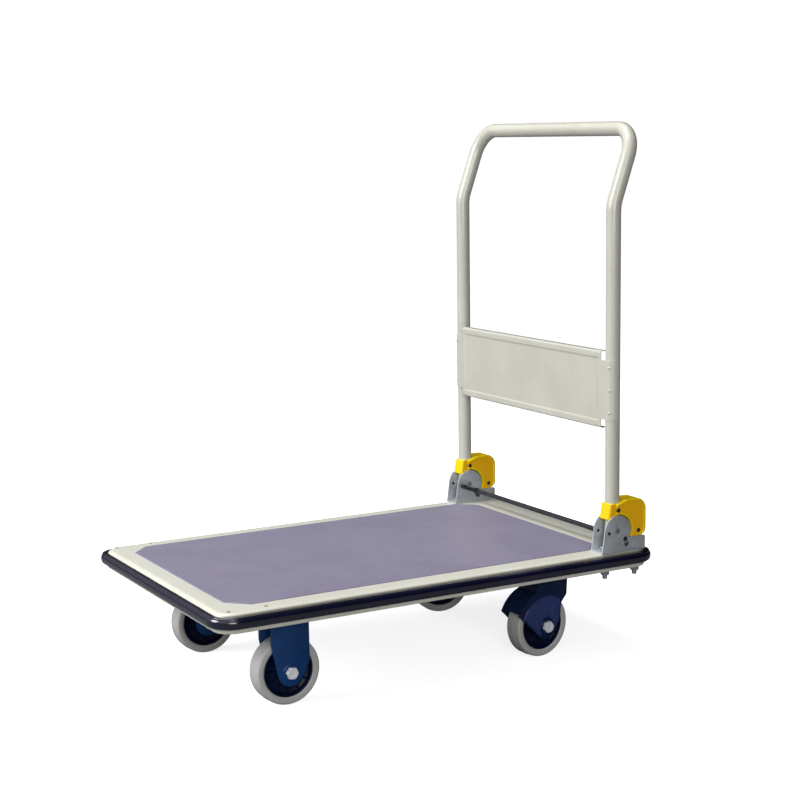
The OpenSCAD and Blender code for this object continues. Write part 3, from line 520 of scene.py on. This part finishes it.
section = np.vstack([
    [(panel_flange, panel_z0)], arc((fold_r, panel_z0 + fold_r), fold_r, 270, 180, 8)[:-1],
    np.column_stack([0 * upright, upright]),
    arc((fold_r, panel_z1 - fold_r), fold_r, 180, 90, 8)[1:], [(panel_flange, panel_z1)],
])


def eased_step(x, low, high):
    """Smooth step from 0 to 1, as whole arrays."""
    t = np.clip((x - low) / (high - low), 0, 1)
    return t * t * (3 - 2 * t)


fall_z = (eased_step(section[:, 1], panel_z0 + field_inset, panel_z0 + field_inset + field_slope)
          * eased_step(-section[:, 1], -panel_z1 + field_inset, -panel_z1 + field_inset + field_slope))
fall_y = eased_step(half_field - np.abs(path_y), 0.006, 0.006 + field_slope)
sunk = field_depth * fall_z[:, None] * fall_y[None]
grid = np.stack([path_x[None] + section[:, :1] + sunk, path_y[None] + 0 * section[:, :1],
                 section[:, 1:] + 0 * path_y[None]], -1)
section_out = np.gradient(section, axis=0)
section_out = np.column_stack([section_out[:, 1], -section_out[:, 0]])
section_out /= np.linalg.norm(section_out, axis=1, keepdims=True)
inward = np.stack([section_out[:, :1] * -path_out[None, :, 0], section_out[:, :1] * -path_out[None, :, 1],
                   section_out[:, 1:] + 0 * path_y[None]], -1)
back = grid + inward * panel_sheet
rows, cols = grid.shape[:2]
ribbon = np.abs(path_y) > half_field + 1e-6
kept = ~(((section[:, 1] < panel_z0 + saddle_step - 1e-6) | (section[:, 1] > panel_z1 - saddle_step + 1e-6)
          | (section[:, 0] > 1e-6))[:, None] & ribbon[None])
cell = kept[:-1, :-1] & kept[:-1, 1:] & kept[1:, 1:] & kept[1:, :-1]
i = np.arange(rows * cols).reshape(rows, cols)
front_faces = np.stack([i[:-1, :-1], i[:-1, 1:], i[1:, 1:], i[1:, :-1]], -1)[cell]
back_faces = front_faces[:, ::-1] + rows * cols
edges = np.vstack([front_faces[:, [k, (k + 1) % 4]] for k in range(4)])
_, where, count = np.unique(np.sort(edges, axis=1), axis=0, return_index=True, return_counts=True)
border = edges[where[count == 1]]
rim_faces = np.column_stack([border[:, ::-1], border + rows * cols])
made = piece("pressed_panel", [(np.vstack([grid.reshape(-1, 3), back.reshape(-1, 3)]),
                                [front_faces, back_faces, rim_faces])],
             grey_paint, "handle", ["handle_panel"], sharp=40)
loose = bmesh.new()
loose.from_mesh(made.data)
bmesh.ops.delete(loose, geom=[v for v in loose.verts if not v.link_faces], context="VERTS")
loose.to_mesh(made.data)
loose.free()

dome_r = 0.0025
dome = turned(np.vstack([[(dome_r, -0.0005), (dome_r, 0.0002)],
                         arc((0, -0.0022), math.hypot(dome_r, 0.0024), 43, 90, 8)]), 28)
low, high = map(np.array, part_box("panel_rivets"))
rivet_z = np.linspace(low[2] + dome_r, high[2] - dome_r, 3)
lean_out = math.radians(25)
shapes = []
for side in (-1, 1):
    axis = np.array([-math.cos(lean_out), side * math.sin(lean_out), 0])
    for z in rivet_z:
        shapes.append(placed(dome, np.array([post_x, side * post_y, z]) + axis * saddle_r, axis))
piece("domed_rivets", shapes, grey_paint, "handle", ["panel_rivets"])

# ---- Wheels ----
# Each wheel is a grey non-marking rubber tyre moulded on a dark navy plastic hub with ribs, which turns on a
# roller bearing. The front axles are fixed, the rear ones trail behind their king pins.
wheel_r, hub_r, tyre_half = 0.050, 0.0395, 0.015


def tread(steps=180):
    """Profile of the tyre, turned about the axle: flat side walls with a raised ring, round shoulders, and a
    slightly crowned tread with a fine parting line in the middle."""
    shoulder, crown = 0.0045, 0.0006
    y = np.linspace(-1, 1, 25)
    across = y * (tyre_half - shoulder)
    top = wheel_r - crown * (y ** 2) + 0.00025 * np.exp(-((across / 0.0004) ** 2)) - 0.00025
    side = np.vstack([
        [(hub_r - 0.002, -tyre_half + 0.0025), (hub_r + 0.0002, -tyre_half + 0.0012),
         (hub_r + 0.0012, -tyre_half + 0.0002), (hub_r + 0.0022, -tyre_half),
         (hub_r + 0.0042, -tyre_half), (hub_r + 0.0046, -tyre_half + 0.0003)],
        arc((wheel_r - crown - shoulder, shoulder - tyre_half), shoulder, -90, -6, 9),
    ])
    ring = np.vstack([side, np.column_stack([top, across]), (side * (1, -1))[::-1]])
    return turned(ring, steps, "joined")


rubber, tree, shader, place, _ = skin(
    "tyre_rubber", (200, 199, 197), (186, 185, 182), (210, 209, 205), rough=0.62,
    grain_size=0.8, grain_depth=0.00010, edge=0.5, specular=0.35)
dusty = add(tree, "TexNoise", Vector=place, Scale=55.0, Detail=6.0, Roughness=0.7)
share = add(tree, "MapRange", _0=dusty.outputs[0], _1=0.45, _2=0.75, _3=0.0, _4=0.35)
laid_over(tree, shader, share.outputs[0], (204, 202, 197))


def ribbed_hub(steps=192, ribs=12):
    """Profile of the hub, turned about the axle. In the dish between boss and rim the face rises into ribs:
    its depth is a smooth step of the angle from the nearest rib, times the distance from the axle."""
    boss_r, dish_0, dish_1, rim_face, boss_face = 0.0125, 0.0150, 0.0345, 0.0130, 0.0178
    half = np.array([(boss_r - 0.0006, boss_face), (boss_r + 0.0002, boss_face - 0.0004),
                     (boss_r + 0.0008, 0.0120), (dish_0, 0.0072), (dish_0 + 0.002, 0.0062),
                     (0.0200, 0.0056), (0.0250, 0.0056), (0.0300, 0.0060), (dish_1 - 0.002, 0.0068),
                     (dish_1, 0.0085), (0.0356, rim_face - 0.001), (0.0360, rim_face - 0.0002),
                     (0.0364, rim_face), (hub_r - 0.0006, rim_face), (hub_r, rim_face - 0.0006)])
    bore = np.array([(0.0122, -boss_face), (0.0122, boss_face)])
    ring = np.vstack([bore, half, (half * (1, -1))[::-1]])
    t = angles(steps)
    r, y = ring[:, :1], ring[:, 1:]
    near = np.abs((t * ribs / (2 * np.pi) + 0.5) % 1 - 0.5) * 2 * np.pi / ribs
    rib = eased_step(-r * near[None], -0.0021, -0.0009)
    in_dish = eased_step(r, dish_0 - 0.001, dish_0) * eased_step(-r, -dish_1, 0.001 - dish_1)
    y = y + np.sign(y) * rib * in_dish * 0.0045
    return rings(r, t, y, "joined")


pin_head_r = 0.010


def wheel_at(wheel):
    """A wheel's centre, and the level unit vector ahead of it: a rear wheel's points to its king pin."""
    low, high = map(np.array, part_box("tyre_" + wheel))
    at = (low + high) / 2
    if "front" in wheel:
        return at, np.array([-1.0, 0.0, 0.0])
    pin_low, pin_high = map(np.array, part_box("kingpins"))
    pin = np.array([(pin_low[0] + pin_high[0]) / 2, np.sign(at[1]) * (pin_high[1] - pin_head_r)])
    return at, np.r_[pin - at[:2], 0.0] / np.linalg.norm(pin - at[:2])


hub_plastic = skin("hub_plastic", (7, 20, 52), (4, 13, 38), (30, 42, 78), rough=0.36, grain_size=0.5,
                   grain_depth=0.00008, edge=0.4, specular=0.25)[0]
wheels = ("front_left", "front_right", "rear_left", "rear_right")
for wheel in wheels:
    at, ahead = wheel_at(wheel)
    axle = (ahead[1], -ahead[0], 0.0)
    body = "wheel_" + wheel
    piece(wheel + "_tread", [placed(tread(), at, axle)], rubber, body, ["tyre_" + wheel])
    piece(wheel + "_hub", [placed(ribbed_hub(), at, axle)], hub_plastic, body, ["hub_" + wheel])

# ---- Hinge brackets ----
# Each bracket is folded from 2 mm sheet: a base, and two cheeks with a round top and a slanted slot for the
# rod. It is zinc plated and bolted down through the deck.
bracket_zinc = zinc_skin("bracket_zinc", (208, 214, 218), (158, 165, 171), 0.34, streaks=0.3, metal=0.35)
for side in ("left", "right"):
    eased("folded_bracket_" + side, "hinge_bracket_" + side, 0.00035, bracket_zinc, "deck")

# ---- Latch covers ----
# Each cover is one yellow plastic moulding on the foot of a post: a collar in front of the tube, and a fan
# behind it that runs close round the cheeks. The fan's walls are sunk inside a raised rim.
cover_yellow, tree, shader, place, _ = skin(
    "cover_yellow", (248, 220, 2), (244, 200, 0), (252, 232, 80), rough=0.40, grain_size=0.7,
    grain_depth=0.00007, edge=0.35, coat=0.04, specular=0.35)
# Painted shade: the sunk walls on both faces of the fan are laid over with a deeper orange yellow
sideways = add(tree, "SeparateXYZ", Vector=place).outputs["Y"]
from_post = maths(tree, "ABSOLUTE", maths(tree, "SUBTRACT", maths(tree, "ABSOLUTE", sideways), post_y))
walls = maths(tree, "MULTIPLY", on_sides(tree, 0.80, 0.98), steps_between(tree, from_post, 0.0156, 0.0148))
laid_over(tree, shader, maths(tree, "MULTIPLY", walls, 0.85), (252, 184, 0))
fan_half, fan_wall, fan_inner = 0.016, 0.002, 0.0258
fan_top, fan_back, fan_foot, fan_front = 0.0475, 0.0526, -0.011, -0.002
fan_round, fan_heel, fan_slope, fan_shelf = 0.018, 0.011, 0.36, 0.016
rim_out, rim_in, rim_slope, rim_height, rim_soft = 0.0030, 0.0030, 0.0012, 0.0016, 0.0009


def fan(side, steps=150):
    """The fan as a U section carried round the hinge axis. At each angle it reaches from the arc round the
    cheeks to the nearest bound: the flat top, its slope in front, the back, the foot or a round corner."""
    first = math.asin(fan_foot / fan_inner)
    last = math.pi / 2 - math.atan(fan_front / fan_top)
    t = np.linspace(first + 0.002, last, steps)
    c, s = np.cos(t), np.sin(t)
    bounds = [np.where(s > 0.01, fan_top / np.maximum(s, 0.01), 1),
              np.where(c > 0.01, fan_back / np.maximum(c, 0.01), 1),
              np.where(s < -0.01, fan_foot / np.minimum(s, -0.01), 1)]
    fall = s - fan_slope * c
    bounds.append(np.where(fall > 0.1, (fan_top - fan_shelf * fan_slope) / np.maximum(fall, 0.1), 1))
    reach = np.min(bounds, 0)
    for r, up in ((fan_round, 1), (fan_heel, -1)):
        corner = np.array([fan_back - r, (fan_top if up > 0 else fan_foot) - up * r])
        along = corner[0] * c + corner[1] * s
        on_arc = along + np.sqrt(np.maximum(along ** 2 - corner @ corner + r ** 2, 0))
        reach = np.where((on_arc * c > corner[0]) & (up * (on_arc * s - corner[1]) > 0), on_arc, reach)
    share = np.clip((reach - fan_inner) / 0.016, 0, 1)
    y = fan_half
    half = [("in", 0.0, y - 0.0005), ("in", 0.0002, y - 0.0001), ("in", 0.0006, y), ("in", rim_in, y),
            ("in", rim_in + 0.0003, y - 0.0001), ("in", rim_in + rim_slope, y - rim_height),
            ("out", rim_out + rim_slope, y - rim_height), ("out", rim_out + 0.0003, y - 0.0001),
            ("out", rim_out, y)]
    half += [("out", a * rim_soft, y - b * rim_soft)
             for a, b in ((3, 0), (1.5, 0.15), (0.7, 0.5), (0.25, 1), (0, 2))]
    hollow = y - fan_wall - rim_height
    ring = half + [(k, d, -h) for k, d, h in half[::-1]]
    ring += [("in", 0.0, -hollow), ("out", fan_wall, 0.0004 - hollow), ("out", fan_wall, hollow - 0.0004),
             ("in", 0.0, hollow)]
    r = np.stack([fan_inner + d * share if k == "in" else reach - d * share for k, d, _ in ring], 1)
    h = np.array([h for _, _, h in ring])[None] + 0 * r
    grid = np.stack([r * c[:, None], h, r * s[:, None]], -1)
    return net(grid + (post_x, side * post_y, hinge_z))


collar_half, collar_r, collar_top = 0.0124, 0.0055, 0.0420


def collar(side, rows=24):
    """The collar as a stack of rounded plan outlines: its front slants forwards as it goes down, and its
    lower edge dips between the cheeks."""
    top_front, foot_front, back = -0.0125, -0.0170, 0.001
    plan, away = bent([(back, collar_half), (foot_front, collar_half), (foot_front, -collar_half),
                       (back, -collar_half)], [0.0008, collar_r, collar_r, 0.0008], 12)
    low_z = np.interp(plan[:, 0], [foot_front, -0.0103, back], [0.0185, 0.0135, 0.0200])
    v = np.r_[0, 0.015, np.linspace(0.04, 0.96, rows), 0.985, 1]
    pinch = 0.0008 * (np.maximum(0, 1 - v / 0.04) ** 2 + np.maximum(0, 1 - (1 - v) / 0.04) ** 2)
    z = low_z[None] + (collar_top - low_z[None]) * v[:, None]
    rise = (z - 0.0185) / (collar_top - 0.0185)
    forward = (plan[None, :, 0] - back) / (foot_front - back)
    x = plan[None, :, 0] + forward * (top_front - foot_front) * np.clip(rise, 0, 1)
    x, y = x - away[None, :, 0] * pinch[:, None], plan[None, :, 1] - away[None, :, 1] * pinch[:, None]
    return net(np.stack([x, y, z], -1) + (post_x, side * post_y, hinge_z))


both_sides = (("left", -1), ("right", 1))
for name, side in both_sides:
    piece("moulded_cover_" + name, [fan(side), collar(side)], cover_yellow, "handle",
          ["latch_cover_" + name], sharp=38)

# Pan-head screws with a cross recess hold the covers, two on each face.


def cross_head(r=0.0034, height=0.0016, rings=14, steps=64):
    """A low dome over polar coordinates, lowered where either plane coordinate is near zero: the cross."""
    t = angles(steps)
    u = np.linspace(1, 0, rings)[:, None]
    x, y = r * u * np.cos(t), r * u * np.sin(t)
    dome = height * np.sqrt(1 - (0.96 * u) ** 2) + 0 * t
    cross = 1 - eased_step(np.minimum(np.abs(x), np.abs(y)), 0.00025, 0.00045)
    dome = dome - 0.0008 * cross * (1 - eased_step(np.hypot(x, y), 0.0016, 0.0019))
    base = np.stack([x[:1], y[:1], 0 * dome[:1] - 0.0006], -1)
    return net(np.vstack([base, np.stack([x, y, dome], -1)]))


dark_steel = skin("dark_steel", (72, 75, 80), (52, 54, 59), (120, 122, 126), rough=0.34, grain_size=0.6,
                  grain_depth=0.00002, metal=0.7, edge=0.15, streaks=0.1)[0]
shapes = []
for x, z, sunk in ((0.0005, 0.032, 0.0006), (0.039, -0.003, 0.0016)):
    for side in (-1, 1):
        for face in (-1, 1):
            at = (post_x + x, side * post_y + face * (fan_half - sunk), hinge_z + z)
            shapes.append(placed(cross_head(), at, (0, face, 0), 0.5 + x * 30 + side))
piece("cover_screw_heads", shapes, dark_steel, "handle", ["cover_screws"])

# ---- Release rod and springs ----
# The rod is 8 mm steel, blackened, with a groove and a clip at each end. A pull spring on the inner side of
# each bracket draws it up its slots, from a headed rivet in the cheek.
low, high = map(np.array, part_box("release_rod"))
rod_r, rod_at = (high[2] - low[2]) / 2, (low + high) / 2
half, groove_r = (high[1] - low[1]) / 2, rod_r - 0.0007
rod_end = np.array([(rod_r, half - 0.0026), (groove_r, half - 0.0025), (groove_r, half - 0.0008),
                    (rod_r, half - 0.0007), (rod_r, half - 0.0006), (rod_r - 0.0006, half)])
piece("foot_rod", [placed(turned(np.vstack([(rod_end * (1, -1))[::-1], rod_end]), 40), rod_at, (0, 1, 0))],
      dark_steel, "release_bar", ["release_rod"])
eased("rod_end_clips", "rod_clips", 0.0002, bracket_zinc, "release_bar")

low, high = map(np.array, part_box("release_springs"))
anchor = sum(map(np.array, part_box("spring_anchors"))) / 2
spring_half = 0.0036
spring_y = high[1] - spring_half


def coiled(start, end, coil_r=0.0029, wire=0.0006, turns=13, steps=22):
    """A wire that hooks half round the anchor, winds in close turns about the line to the rod, and hooks
    half round the rod: the coil's centre moves along the line as its angle grows."""
    along = end - start
    length = np.linalg.norm(along)
    along = along / length
    across = np.array([0.0, 1.0, 0.0])
    up = np.cross(along, across)
    k = np.linspace(0, 1, turns * steps)
    body_0, body_1 = 0.007, 0.007 + 2 * wire * 1.03 * turns
    a = 2 * np.pi * turns * k + math.pi / 2
    coil = np.column_stack([body_0 + (body_1 - body_0) * k, coil_r * np.cos(a), coil_r * np.sin(a)])
    eye_0, eye_1 = 0.0032, rod_r + 0.0008
    h = np.linspace(-0.3, 1, 16)[:, None] * math.pi
    hook_0 = np.hstack([-eye_0 * np.sin(h), 0 * h, -eye_0 * np.cos(h)])
    hook_1 = np.hstack([length + eye_1 * np.sin(h), 0 * h, -eye_1 * np.cos(h)])[::-1]
    path = np.vstack([hook_0, coil, hook_1])
    path = start + path[:, :1] * along + path[:, 1:2] * across + path[:, 2:] * up
    return tube(spread(path, 0.0012), (0.31, 0.18, 0.93), wire, wire * 0.4, 8)


for name, side in both_sides:
    start = np.array([anchor[0], side * spring_y, anchor[2]])
    end = np.array([rod_at[0], side * spring_y, rod_at[2]])
    made = piece("pull_spring_" + name, [coiled(start, end)], dark_steel, "deck",
                 ["release_springs"], sharp=60)
    made.parent = None
    del made["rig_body"]
    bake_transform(made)
eased("anchor_rivets", "spring_anchors", 0.0003, dark_steel, "deck")

# ---- Casters ----
# The front forks and rear yokes are pressed from 3 mm sheet and stove enamelled: blue in front, and a
# darker navy behind, with a hood over the tyre. A dished ring is pressed round each axle hole.
fork_blue = skin("fork_blue", (10, 66, 124), (6, 52, 106), (52, 92, 142), rough=0.38, grain_size=0.5,
                 grain_depth=0.00010, coat=0.08, edge=0.6, specular=0.35)[0]
yoke_navy = skin("yoke_navy", (6, 34, 80), (3, 24, 62), (36, 62, 108), rough=0.36, grain_size=0.5,
                 grain_depth=0.00010, coat=0.06, edge=0.6, specular=0.3)[0]
# A lighter, glossier copy of the navy for the raised fields: painted reflection
yoke_painted_sheen = skin("yoke_painted_sheen", (42, 62, 122), (34, 50, 104), (72, 90, 140), rough=0.30, grain_size=0.5,
                 grain_depth=0.00008, coat=0.15, edge=0.4)[0]
dished = np.array([(0.0092, 0.0002), (0.0094, 0.0007), (0.0101, 0.0012), (0.0110, 0.0014), (0.0120, 0.0013),
                   (0.0130, 0.0008), (0.0137, 0.0003), (0.0141, -0.0003), (0.0092, -0.0003)])


def hexagon(flats, cone, steps=96):
    """Angles round a hexagon's prism cut by a cone, and at each angle and height the smaller radius."""
    t = angles(steps)
    flat = flats / 2 / np.cos((t + np.pi / 6) % (np.pi / 3) - np.pi / 6)
    return t, np.minimum(flat[None], cone)


def bolt_head(flats, height, washer=0.0004, rows=10):
    """A hexagon head on a washer face, with a cone over its corners and a shallow dish in its top."""
    z = np.r_[washer, washer + 0.0001, np.linspace(height * 0.55, height, rows)][:, None]
    t, sides = hexagon(flats, flats / 2 * 0.95 + (height - z) * 1.9)
    level = np.ones((1, len(t))) * flats
    ring = np.vstack([level * 0.47, level * 0.47, sides, level * 0.30, level * 0.26])
    return rings(ring, t, np.r_[-0.0002, washer, z[:, 0], height, height - 0.0003][:, None])


def thread(r, length, pitch=0.00125, depth=0.0006, steps=28):
    """A screw thread: the radius falls and rises with height and angle together, one pitch a turn, and
    shrinks to nothing over the last pitch."""
    t = angles(steps)[None]
    z = np.linspace(0, length, int(length / pitch * 8))[:, None]
    wave = np.abs(((z / pitch - t / (2 * np.pi)) % 1) * 2 - 1)
    end = np.maximum(0, z - length + 0.0008)
    return rings(r - depth * wave - end * 0.9, t, z)


def nut(flats, height, bore):
    """A hexagon nut with both faces coned, and a bore."""
    z = np.r_[0, np.linspace(0, 0.18, 5)[1:], np.linspace(0.82, 1, 5)][:, None] * height
    t, sides = hexagon(flats, flats / 2 * 0.96 + np.minimum(z, height - z) * 1.9)
    inner = np.array([[bore + 0.0006], [bore], [bore], [bore + 0.0006]]) + 0 * t[None]
    heights = np.r_[0, 0.0006, height - 0.0006, height, z[::-1, 0]][:, None]
    return rings(np.vstack([inner, sides[::-1]]), t, heights, "joined")


axle_zinc = zinc_skin("axle_zinc", (250, 251, 253), (232, 235, 240), 0.32, streaks=0.05, metal=0.0)
flats, head_height, nut_height, shank = 0.016, 0.0064, 0.0084, 0.005
leg_face, boss_face = 0.022, 0.0245


def bolt(head, tail, width, height, r, steps, turn, *threading):
    """A bolt's head on one point, its smooth shank to another, and its thread beyond that."""
    head, tail = np.asarray(head), np.asarray(tail)
    way = head - tail
    return [placed(bolt_head(width, height), head, way, turn),
            placed(turned(np.array([(r, 0), (r, np.linalg.norm(way))]), steps), tail, way),
            placed(thread(r, *threading), tail, -way)]


def axle_bolt(at, out, reach, head_turn, nut_turn):
    """The shapes of an axle's bolt, through faces at equal distances from a point, and of its nut."""
    head, tail = at + out * reach, at - out * reach
    shapes = bolt(head, tail, flats, head_height, shank, 32, head_turn, 0.011, 0.0015, 0.0007)
    return shapes, [placed(nut(flats, nut_height, shank - 0.0002), tail, -out, nut_turn)]


bolts, nuts = [], []
for name, side in both_sides:
    at = wheel_at("front_" + name)[0]
    shapes = [placed(turned(dished, 64, "joined"), at + np.array([0, out * leg_face, 0]), (0, out, 0))
              for out in (-1, 1)]
    eased("pressed_fork_" + name, "fixed_fork_" + name, 0.0006, fork_blue, "deck", shapes)
    bolt_shapes, nut_shapes = axle_bolt(at, np.array([0.0, side, 0.0]), leg_face, 0.4, 0.2)
    bolts += bolt_shapes
    nuts += nut_shapes
piece("front_axle_hex_bolts", bolts, axle_zinc, "deck", ["front_axle_bolts"])
piece("front_axle_hex_nuts", nuts, bright_zinc, "deck", ["front_axle_nuts"])

# The yoke's legs carry a round raised field about the axle, and a boss for the bolt. The fields take a
# lighter, glossier copy of the navy: a painted reflection.
field_r, field_rise, field_bore, field_root = 0.0475, 0.0009, 0.0128, -0.0003
leg_edges = ((-0.7, -0.7142, 0.0185), (0.8172, -0.5763, 0.0185), (0.998, -0.06, 0.0262))


def raised_field(steps=160):
    """A flat disc's upper part, bounded by the leg: at each angle it reaches to the smaller of its own
    radius and the leg's edges, each a direction and a distance, and falls off smoothly there."""
    t = np.radians(np.linspace(-38, 226, steps))
    c, s = np.cos(t), np.sin(t)
    reach = np.full(steps, field_r)
    for a, b, distance in leg_edges:
        facing = a * c + b * s
        reach = np.where(facing > 0.05, np.minimum(reach, distance / np.maximum(facing, 0.05)), reach)
    bore = np.full(steps, field_bore)
    r = np.stack([reach, reach, reach - 0.0006, reach - 0.0014, bore, bore], 0)
    h = np.array([field_root, 0.25 * field_rise, 0.8 * field_rise, field_rise, field_rise, field_root])
    h = h[:, None] + 0 * r
    return net(np.stack([r * c, h, r * s], -1).transpose(1, 0, 2))


for name, side in both_sides:
    at, ahead = wheel_at("rear_" + name)
    out = side * np.array([-ahead[1], ahead[0], 0.0])
    shapes, fields = [], []
    for outward in (-out, out):
        points, faces = raised_field()
        fields.append((points @ np.array([ahead, outward, (0, 0, 1)]) + at + outward * leg_face, faces))
        shapes.append(placed(turned(dished - (0, 0.0002), 64, "joined"), at + outward * boss_face, outward))
    eased("pressed_yoke_" + name, "yoke_" + name, 0.0006, yoke_navy, "caster_" + name, shapes)
    piece("yoke_painted_sheen_" + name, fields, yoke_painted_sheen, "caster_" + name)
    bolt_shapes, nut_shapes = axle_bolt(at, out, boss_face, 0.7, 0.3)
    piece("rear_axle_bolt_" + name, bolt_shapes, axle_zinc, "caster_" + name,
          ["axle_bolt_" + name])
    piece("rear_axle_nut_" + name, nut_shapes, bright_zinc, "caster_" + name,
          ["axle_nut_" + name])
    eased("race_plate_" + name, "swivel_plate_" + name, 0.0005, yoke_navy, "deck")

# ---- Bolts of the brackets and casters ----
# M8 hexagon bolts hold each bracket through the deck and its support, with a washer and nut under the lip.
# Four more hold every caster's plate to its stiffener.
low, high = map(np.array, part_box("bracket_bolts"))
nut_low, nut_high = map(np.array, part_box("bracket_nuts"))
washer_r, washer_h, m8_flats, m8_head, m8_nut, m8_r = 0.008, 0.0016, 0.013, 0.0053, 0.0065, 0.004
washer = turned(np.array([(0.0039, 0), (0.0078, 0), (washer_r, 0.0003), (washer_r, 0.0013),
                          (0.0078, washer_h), (0.0039, washer_h)]), 40, "joined")
shapes, nuts = [], []
for side in (-1, 1):
    for x in (nut_low[0] + washer_r, nut_high[0] - washer_r):
        head = (x, side * post_y, high[2] - m8_head)
        tail = (x, side * post_y, nut_high[2])
        shapes += bolt(head, tail, m8_flats, m8_head, m8_r, 24, 0.26, tail[2] - low[2])
        below = (x, side * post_y, nut_high[2] - washer_h)
        nuts += [placed(nut(m8_flats, m8_nut, 0.0038), below, (0, 0, -1)), placed(washer, tail, (0, 0, -1))]
piece("bracket_hex_bolts", shapes, bright_zinc, "deck", ["bracket_bolts"])
piece("bracket_hex_nuts", nuts, bright_zinc, "deck", ["bracket_nuts"])
eased("caster_hex_bolts", "caster_bolts", 0.0003, bright_zinc, "deck")
eased("caster_hex_nuts", "caster_nuts", 0.0003, bright_zinc, "deck")

# ---- Pins, bearings and races ----
# The turning parts inside keep their drawn shapes: hardened pins and balls, steel sleeves and bushes, and
# the latch plates in the feet of the posts.
bearing_steel = zinc_skin("bearing_steel", (186, 188, 192), (150, 152, 158), 0.24, streaks=0.25)
for node in ("pivot_pins", "kingpins", "swivel_balls", "front_axle_sleeves", "axle_sleeve_left",
             "axle_sleeve_right", "hook_plates", "pivot_bushes", *("bearing_" + wheel for wheel in wheels)):
    for slot_of_node in frame["nodes"][node].material_slots:
        slot_of_node.material = bearing_steel

# ---- Floor, light and camera ----
# A pale flat floor under a pale sky, both brighter to the camera than to the cart, three large soft lights,
# and a camera below the bar's height to the left of the cart's front end.
bpy.context.scene.view_settings.view_transform = "Standard"
world = bpy.data.worlds.new("studio")
world.use_nodes = True
tree = world.node_tree
background = tree.nodes["Background"]
background.inputs["Color"].default_value = colour(250, 250, 252)
seen = add(tree, "LightPath").outputs["Is Camera Ray"]
facing = add(tree, "SeparateXYZ", Vector=add(tree, "TexCoord").outputs["Generated"])
overhead = ranged(tree, steps_between(tree, facing.outputs["Z"], -0.05, 0.55), 0.05, 0.55)
in_front = ranged(tree, steps_between(tree, facing.outputs["X"], 0.5, -0.8), 0.03, 1.45)
strength = add(tree, "Mix", {"data_type": "FLOAT"}, _0=seen,
               _2=maths(tree, "MULTIPLY", overhead, in_front), _3=1.06)
tree.links.new(strength.outputs[0], background.inputs["Strength"])
bpy.context.scene.world = world

floor_white = bpy.data.materials.new("floor_white")
floor_white.use_nodes = True
tree = floor_white.node_tree
floor_shader = tree.nodes["Principled BSDF"]
floor_shader.inputs["Roughness"].default_value = 0.9
seen = add(tree, "LightPath").outputs["Is Camera Ray"]
shade = blended(tree, seen, colour(112, 112, 114), colour(236, 236, 238))
tree.links.new(shade, floor_shader.inputs["Base Color"])
floor_shader.inputs["Emission Color"].default_value = (1, 1, 1, 1)
tree.links.new(maths(tree, "MULTIPLY", seen, 0.80), floor_shader.inputs["Emission Strength"])
reach = 9.0
mesh = bpy.data.meshes.new("studio_floor")
mesh.from_pydata([(-reach, -reach, 0), (-reach, reach, 0), (reach, reach, 0), (reach, -reach, 0)], [],
                 [(0, 1, 2, 3)])
mesh.materials.append(floor_white)
studio_floor = bpy.data.objects.new("studio_floor", mesh)
bpy.context.scene.collection.objects.link(studio_floor)


def stood(made, *axes_and_place):
    """Links an object and places it by its own three axes and a point."""
    stand = np.eye(4)
    stand[:3] = np.column_stack(axes_and_place)
    made.matrix_world = Matrix(stand.tolist())
    bpy.context.scene.collection.objects.link(made)


def soft_light(name, at, aim, power):
    """A square area light at a point, turned to face another."""
    lamp = bpy.data.lights.new(name, "AREA")
    lamp.size, lamp.energy = 1.6, power
    back = np.subtract(at, aim)
    back /= np.linalg.norm(back)
    side = np.cross((0, 0, 1), back)
    side /= np.linalg.norm(side)
    stood(bpy.data.objects.new(name, lamp), side, np.cross(back, side), back, at)


soft_light("key", (-3.2, 0.7, 2.0), (0, 0, 0.2), 80)
soft_light("fill", (-1.3, -3.4, 1.2), (0.1, 0, 0.2), 42)
soft_light("top", (-0.5, 0.4, 3.0), (0, 0, 0.2), 50)

camera = bpy.data.objects.new("camera", bpy.data.cameras.new("camera"))
camera.data.sensor_width, camera.data.lens = 36.0, 76.74
camera_at = (-1.22955, -2.26823, 0.79682)
heading, pitch, tilt = 0.51336, -0.15370, -0.01416
ahead = np.array([math.sin(heading) * math.cos(pitch), math.cos(heading) * math.cos(pitch), math.sin(pitch)])
right = np.cross(ahead, (0, 0, 1))
right /= np.linalg.norm(right)
up = np.cross(right, ahead)
c, s = math.cos(tilt), math.sin(tilt)
stood(camera, right * c + up * s, up * c - right * s, -ahead, camera_at)
bpy.context.scene.camera = camera
